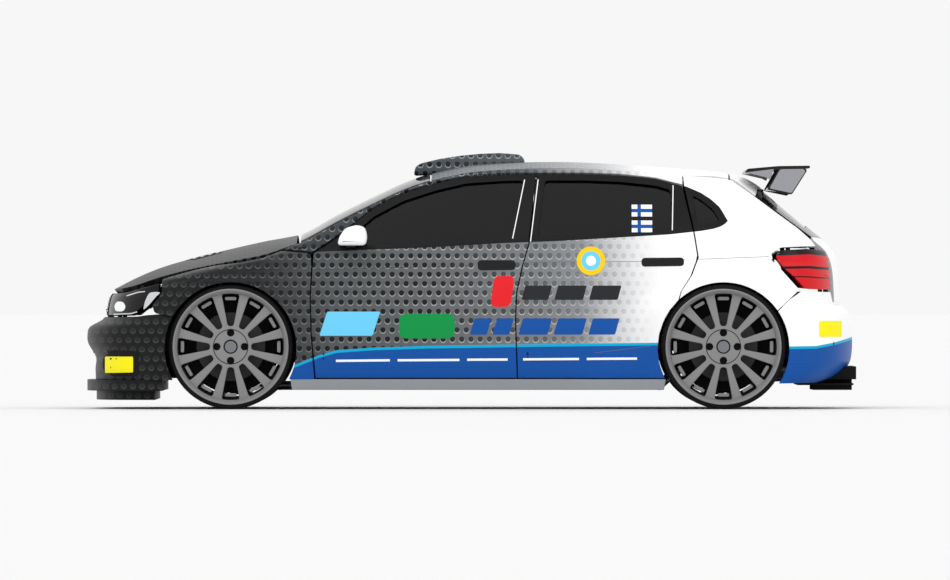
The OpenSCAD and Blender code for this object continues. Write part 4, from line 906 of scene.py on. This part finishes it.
def taillight(k):
    def f(s, t):
        front = table([[0, 71], [0.5, 85], [0.75, 88.6], [0.9, 88.9], [1, 86]], t)
        a = lerp(38.4, front - 0.4, s)
        z0 = table([[34, 618], [56, 618], [72, 626]], a) + 2
        z1 = table([[34, 822], [64, 834], [86, 826]], a) - 2
        return tail(k * a, lerp(z0, z1, t))

    def bars(s, t):
        return np.where(t > 0.87, 1, np.where((abs(t - 0.52) < 0.035) | (abs(t - 0.3) < 0.02), 2, 0))
    return slab("t", f, 26, 30, 0, 20, [lamp_red, black_gloss, lamp_dark], pick=bars, inset=5)


place(both("headlight_lamps", headlight), "headlights")
place(both("tail_lamps", taillight), "taillights")


def nose_strip(a, z0, z1):
    return lambda s, t: nose(lerp(a, -a, s) + 0 * t, lerp(z0, z1, t) + 0 * s)


grille_parts = [slab("g", nose_strip(19.6, 487.0, 604.0), 24, 6, 6, 16, [black_matt])]
for z in (505, 528, 551, 574):
    bar = nose_strip(18.6, z, z + 8.0)
    grille_parts.append(slab("g", bar, 24, 2, 1, 8, [black_gloss], roll=0.8, inset=1))
place(join("grille_mesh", grille_parts), "grille")

# ---- Wheels ----
TYRE = [(287, -98), (291, -110), (300, -112), (312, -108), (319.5, -100), (322.2, -92), (323, -80),
        (323, -62), (319, -60.5), (319, -56.5), (323, -55),
        (323, -24), (318, -22.5), (318, -18.5), (323, -17), (323, 17), (318, 18.5), (318, 22.5), (323, 24),
        (323, 55), (319, 56.5), (319, 60.5), (323, 62), (323, 80), (322.2, 92), (319.5, 100), (312, 108),
        (300, 112), (291, 110), (287, 98), (287, 80), (287, -80)]


def window_12(i):
    a = np.radians(90 + 30 * i)
    r, t = np.array([np.cos(a), np.sin(a)]), np.array([-np.sin(a), np.cos(a)])
    p = [107 * r - 15 * t, 107 * r + 15 * t, 272 * r + 47 * t, 277 * r, 272 * r - 47 * t]
    return rounded(p, 13, 4)


def ring_points(r, n=96, c=(0, 0)):
    a = np.linspace(0, 2 * np.pi, n, endpoint=False)
    return np.stack([c[0] + r * np.cos(a), c[1] + r * np.sin(a)], -1)


for end, axle in (("front", FRONT_AXLE), ("rear", REAR_AXLE)):
    for k, name in ((-1, "left"), (1, "right")):
        c = (axle, TYRE_R)
        place(revolve(f"tyre_{end}_{name}_rubber", TYRE, c, k, [rubber], 160), f"tyre_{end}_{name}", sharp=30)
        to = Matrix(((1, 0, 0, axle * MM), (0, 0, k, k * (TRACK_Y + 66) * MM), (0, 1, 0, TYRE_R * MM),
                     (0, 0, 0, 1)))
        quarter_turns = [math.radians(90 * i) for i in range(4)]
        lugs = [ring_points(19, 24, (72 * math.cos(q), 72 * math.sin(q))) for q in quarter_turns]
        holes = [*[window_12(i) for i in range(12)], ring_points(36, 40), *lugs]
        face = plate("face", [ring_points(286, 160), *holes], to, 34, 5, rim_grey, 3)
        # The barrel's inner faces take the dark grey: painted shade inside the wheel, seen through the spoke
        # windows
        barrel = revolve("barrel", [(300, 100), (300, 112), (295, 114), (289, 110), (284, 84), (278, 60),
                                    (272, -70), (284, -92), (299, -98), (299, -104), (280, -98), (264, -70),
                                    (270, 60), (276, 86), (282, 100)],
                         c, k, [rim_grey, rim_barrel_shade], 128, pick=[0, 0, 0, 0, 1, 1, 1, 0, 0, 0, 1, 1, 1, 0, 0])
        hub = revolve("hub", [(0, 34), (36, 34), (38, 38), (92, 38), (92, 52), (80, 60), (44, 60), (38, 56),
                              (36, 44), (0, 44)], c, k, [black_matt], 64)
        disc = revolve("disc", [(50, -34), (178, -34), (178, -6), (112, -6), (108, 10), (50, 10)], c, k,
                       [iron], 96)
        # Thin black ring round the hub at the dish's edge: a painted shadow
        ring = revolve("ring", [(87, 82), (91, 82), (91, 83.6), (87, 83.6)], c, k, [black_matt], 96)
        tabs = [disc, ring]
        for i in range(12):
            r = math.radians(90 + 30 * i)
            m = to @ Matrix.Rotation(r, 4, "Z") @ Matrix.Translation((0.25, 0, -0.004))
            tab = rounded([[-9, -30], [9, -30], [9, 30], [-9, 30]], 8)
            tabs.append(plate("tab", [tab], m, 10, 2.5, rim_grey, 1))
        place(join(f"rim_{end}_{name}_alloy", [face, barrel, hub] + tabs), f"rim_{end}_{name}", sharp=40)
        pan = [(88, -72), (236, -72), (240, -60), (236, -60), (232, -69), (88, -69)]
        shield = revolve(f"brake_shield_{end}_{name}", pan, c, k, [black_matt], 72)
        place(shield, f"knuckle_{name}" if end == "front" else "rear_suspension", replaces=False)

# ---- Wing, scoop and mirrors ----
END_PLATE = [[1540, 1139], [1602, 1250], [1736, 1252], [1748, 1238], [1668, 1112]]
UPPER = [[1425, 1232], [1440, 1248], [1600, 1262], [1763, 1264], [1763, 1250], [1600, 1240], [1440, 1226]]
LOWER = [[1545, 1140], [1560, 1156], [1672, 1150], [1676, 1138], [1640, 1132]]


def shrunk(p, k):
    p = np.asarray(p, float)
    return p.mean(0) + (p - p.mean(0)) * k


wing = [extrude_y("w", rounded(blade, 6, 4), -550, 550, black_gloss, 2) for blade in (UPPER, LOWER)]
for k in (-1, 1):
    wing.append(extrude_y("w", rounded(END_PLATE, 12, 5), k * 552, k * 566, black_gloss, 2))
    wing.append(extrude_y("w", rounded(shrunk(END_PLATE, 0.9), 10, 5), k * 565, k * 568, wing_grey, 1))
    foot = rounded([[1425, 1228], [1576, 1246], [1556, 1190], [1533, 1203]], 6, 4)
    wing.append(extrude_y("w", foot, k * 546, k * 552, wing_grey, 1.5))
place(join("wing_surfaces", wing), "rear_wing", sharp=30)
SCOOP = [[-300, 1215], [-290, 1262], [-262, 1279], [-161, 1303], [-57, 1319], [47, 1329], [151, 1333],
         [255, 1325], [280, 1300], [282, 1240]]
scoop_body = extrude_y("s", rounded(SCOOP, 16, 4), -170, 170, rail_paint, 14)
mouth = rounded([[-340, 1256], [-340, 1268], [-230, 1282], [120, 1300], [120, 1270], [-200, 1254]], 6)
cut(scoop_body, extrude_y("c", mouth, -140, 140, black_matt, 2))
place(scoop_body, "roof_scoop", sharp=30)
MIRROR = [[-72, -48], [-62, -4], [-30, 42], [30, 58], [72, 46], [84, 0], [76, -48]]
for k, name in ((-1, "left"), (1, "right")):
    y = float(side_y(-640, 860)) - 10 + 95
    outline = rounded(np.array(MIRROR) + [-620, 896], 22, 6)
    shell = extrude_y("m", outline, k * (y - 75), k * (y + 75), white, 22)
    a, b = (-650, k * (y - 93), 838), (-600, k * (y - 50), 860)
    stem = box_at("m", np.minimum(a, b), np.maximum(a, b), black_gloss, 5)
    place(join(f"mirror_{name}_shell", [shell, stem]), f"mirror_{name}", sharp=40)

# ---- The CAD pieces that show as they are ----
FINISH = {"trim_black": black_satin, "sill_grey": sill_grey, "glass": glass, "steel": steel,
          "chassis": cabin_black, "engine": dark_metal,
          "seat": seat_cloth, "dash": cabin_black, "paint_white": cage_white, "paint_dark": nose_skin,
          "blue_black": nose_skin,
          "wing_grey": wing_grey, "lamp": lamp_clear, "lamp_red": lamp_red, "rubber": rubber, "rim": rim_grey}
SPECIAL = {"roll_cage": cage_white, "door_posts": cabin_black, "front_splitter": nose_skin,
           "rear_diffuser": black_matt, "arch_liners": black_matt,
           "exhaust": steel, "steering_wheel": cabin_black, "lid_hinges": dark_metal, "brackets": dark_metal}
for n, o in NODES.items():
    o.data.materials.clear()
    o.data.materials.append(SPECIAL.get(n, FINISH[SLOT[n]]))

# The arch liners again, tucked inside the wings' skins
LINER_TUCK = 13
liner = NODES["arch_liners"]
v = np.array([liner.matrix_world @ q.co for q in liner.data.vertices]) / MM
limit = side_y(v[:, 0], v[:, 2]) - LINER_TUCK
v[:, 1] = np.where(abs(v[:, 1]) > limit, np.sign(v[:, 1]) * limit, v[:, 1])
faces = [tuple(f.vertices) for f in liner.data.polygons]
place(mesh_object("arch_liner_shells", v, faces, [black_matt], smooth=False), "arch_liners", sharp=0)

# ---- Decals: plain shapes in the places of the livery, with painted shade along the creases and painted highlights along the window frames ----
sky_blue = plain("decal_light_blue", (109, 207, 246), 0.4)
green = plain("decal_green", (0, 146, 69), 0.4)
deep_blue = plain("decal_blue", (9, 80, 161), 0.4)
red = plain("decal_red", (227, 30, 38), 0.4)
ink = plain("decal_dark", (38, 38, 42), 0.4)
yellow = plain("decal_yellow", (255, 205, 0), 0.4)
# Dark grey and mid grey strokes along the body's creases: painted shade in the creases
shade_line_dark = plain("painted_crease_shade_dark", (52, 53, 55), 0.5)
shade_line_mid = plain("painted_crease_shade_mid", (104, 107, 110), 0.5)


def stroke(points, w=2.4):
    p = np.asarray(points, float)
    d = np.gradient(p, axis=0)
    n = np.stack([-d[:, 1], d[:, 0]], -1) / np.linalg.norm(d, axis=1)[:, None] * w / 2
    return np.concatenate([p + n, (p - n)[::-1]])


def smooth(points, n=24):
    return path(points)(np.linspace(0, 1, n))


def slanted(x0, x1, z0, z1, lean=30):
    return rounded([[x0, z0], [x1 - lean, z0], [x1, z1], [x0 + lean, z1]], 8)


def slants(spans, z0, z1, lean, mat):
    return [(slanted(a, b, z0, z1, lean), mat) for a, b in spans]


def dashes(ends):
    return [(stroke([[x0, z0], [x1, z1]], 12), white) for x0, z0, x1, z1 in ends]


LIVERY_AND_PAINTED_LIGHT = {
    "front_door": [
        (slanted(-785, -470, 380, 505, 40), sky_blue),
        (rounded([[-372, 366], [-84, 366], [-84, 494], [-372, 494]], 40), green),
        *slants([(-5, 106), (112, 222)], 386, 470, 24, deep_blue),
        (rounded([[100, 530], [205, 530], [226, 690], [121, 690]], 30), red),
        (rounded([[34, 719], [231, 721], [231, 771], [34, 771]], 40, 8), black_gloss),
        # white stroke along the window's rear frame edge: a painted highlight
        (stroke([[216, 884], [279, 1190]], 5), white),
        # painted shade along the door crease
        (stroke(smooth([[-806, 723], [-400, 733], [5, 742]])), shade_line_dark),
        (stroke(smooth([[-812, 208], [-300, 214], [228, 219]])), deep_blue),
        *dashes([(-700, 250, -420, 253), (-380, 253, -60, 255), (-20, 256, 190, 257)])],
    "rear_door": [
        *slants([(246, 420), (428, 600), (608, 770)], 386, 470, 24, deep_blue),
        *slants([(262, 420), (432, 600), (612, 780)], 566, 640, 20, ink),
        (ring_points(74, 48, (622, 768)), yellow), (ring_points(50, 40, (622, 768)), sky_blue),
        (ring_points(26, 32, (622, 768)), white),
        (rounded([[884, 738], [1104, 741], [1104, 785], [884, 783]], 40, 8), black_gloss),
        # white strokes along the window frames' edges: painted highlights
        (stroke([[309, 868], [349, 1190]], 5), white), (stroke([[1044, 926], [1050, 1160]], 5), white),
        # painted shade along the crease and along the lower line
        (stroke(smooth([[262, 758], [458, 762], [884, 765], [1111, 774]])), shade_line_mid),
        (stroke([[640, 291], [931, 327]]), shade_line_mid),
        *dashes([(270, 258, 560, 260), (600, 260, 860, 262)])],
    # painted shade along the crease
    "rear_quarters": [(stroke(smooth([[1170, 776], [1380, 784], [1545, 790]])), shade_line_mid)],
    # painted shade along the flare crease
    "front_fenders": [(stroke(smooth([[-1574, 535], [-1517, 583], [-1458, 636], [-1398, 664], [-1331, 684],
                                      [-1196, 702], [-1022, 724], [-850, 739]])), shade_line_dark)],
    "front_bumper": [(rounded([[-1722, 172], [-1862, 168], [-1915, 205], [-1915, 262], [-1862, 306],
                               [-1722, 300]], 18), black_matt),
                     (rounded([[-1750, 190], [-1900, 186], [-1900, 272], [-1750, 272]], 6), plate_yellow)],
    "rear_bumper": [(rounded([[1806, 374], [1925, 374], [1925, 456], [1806, 456]], 6), plate_yellow)],
}
LIFT = {"plate_yellow": 2.2, "black_gloss": 2.0, "white_paint": 1.1, "decal_light_blue": 0.8}
for group, shapes in LIVERY_AND_PAINTED_LIGHT.items():
    for k, name in ((-1, "left"), (1, "right")):
        node = f"{group}_{name}" if "door" in group else group
        made = []
        for i, (p, m) in enumerate(shapes):
            h = LIFT.get(m.name, 0.6) + 0.12 * i * (group == "rear_door" and m in (yellow, sky_blue, white))
            made.append(decal("d", p, side_surface(k), m, h, 30))
        place(join(f"{group}_marks_{name}", made), node, replaces=False)


def top_surface(p, h):
    """Points of the bonnet or roof, from x and y, raised by h."""
    ye, ze, zc = (col(SECTIONS, p[:, 0], c) for c in (EDGE_Y, EDGE_Z, TOP))
    return np.stack([p[:, 0], p[:, 1], zc - (zc - ze) * (abs(p[:, 1]) / ye) ** CROWN + h], -1)


vents = []
for k in (-1, 1):
    duct = rounded(np.array([[-1500, 150], [-1330, 130], [-1290, 330], [-1440, 380]]) * [1, k], 26)
    vents.append(decal("v", duct, top_surface, black_matt, 1.2, 14))
    for x in (-1470, -1430, -1390, -1350):
        slot = rounded(np.array([[x, 150], [x + 14, 148], [x + 40, 344], [x + 26, 350]]) * [1, k], 4)
        vents.append(decal("v", slot, top_surface, black_gloss, 4.0, 14))
place(join("bonnet_vents", vents), "bonnet", replaces=False)

GLASS_DROP = 11  # the rear door's glass lies this far under the skin


def flag(k, z0, z1, x0=834, x1=940, bar0=864, bar1=882, half=9):
    """White sheet with a blue cross, just over a rear door's glass."""
    skin = side_surface(k)
    on_glass = lambda p, h: skin(p, h - GLASS_DROP)
    lo, hi = (z0 + z1) / 2 - half, (z0 + z1) / 2 + half
    cross = [[x0, lo], [bar0, lo], [bar0, z0], [bar1, z0], [bar1, lo], [x1, lo], [x1, hi],
             [bar1, hi], [bar1, z1], [bar0, z1], [bar0, hi], [x0, hi]]
    return [decal("d", [[x0, z0], [x1, z0], [x1, z1], [x0, z1]], on_glass, white, 0, 30),
            decal("d", cross, on_glass, deep_blue, 0.5, 30)]


for k, name in ((-1, "left"), (1, "right")):
    flags = flag(k, 1004, 1066) + flag(k, 921, 983)
    place(join(f"window_flags_{name}", flags), f"rear_door_glass_{name}", replaces=False)

# ---- Camera, lights and floor ----
LENS, SENSOR = 600, 36
SEEN_WIDTH, SKIN_Y = 4.94, -0.55  # m of the scene across the picture, at this distance from the middle plane
cam_data = bpy.data.cameras.new("camera")
cam_data.lens, cam_data.sensor_width, cam_data.clip_start, cam_data.clip_end = LENS, SENSOR, 1, 400
cam = bpy.data.objects.new("camera", cam_data)
cam.location, cam.rotation_euler = (0.021, SKIN_Y - SEEN_WIDTH * LENS / SENSOR, 0.617), (math.pi / 2, 0, 0)
bpy.context.scene.collection.objects.link(cam)
bpy.context.scene.camera = cam


def sun(name, toward, strength, soft):
    d = bpy.data.lights.new(name, "SUN")
    d.energy, d.angle = strength, math.radians(soft)
    o = bpy.data.objects.new(name, d)
    o.rotation_euler = Vector(toward).to_track_quat("Z", "Y").to_euler()
    bpy.context.scene.collection.objects.link(o)
    return o


lights = [sun("key", (-3, -6, 7), 0.7, 25), sun("fill", (6, -8, 3), 0.2, 40), sun("back", (1, 8, 6), 0.3, 40)]
world = bpy.data.worlds.new("world")
bpy.context.scene.world = world
world.use_nodes = True
bg = world.node_tree.nodes["Background"]
bg.inputs[0].default_value, bg.inputs[1].default_value = (1, 1, 1, 1), 0.93
bpy.context.scene.view_settings.view_transform = "Standard"
floor_mesh = bpy.data.meshes.new("floor")
floor_mesh.from_pydata([(-300, -120, -0.001), (300, -120, -0.001), (300, 600, -0.001), (-300, 600, -0.001)],
                       [], [(0, 1, 2, 3)])
floor_mesh.materials.append(plain("floor_pale", (232, 232, 232), 0.9))
floor = bpy.data.objects.new("floor", floor_mesh)
bpy.context.scene.collection.objects.link(floor)
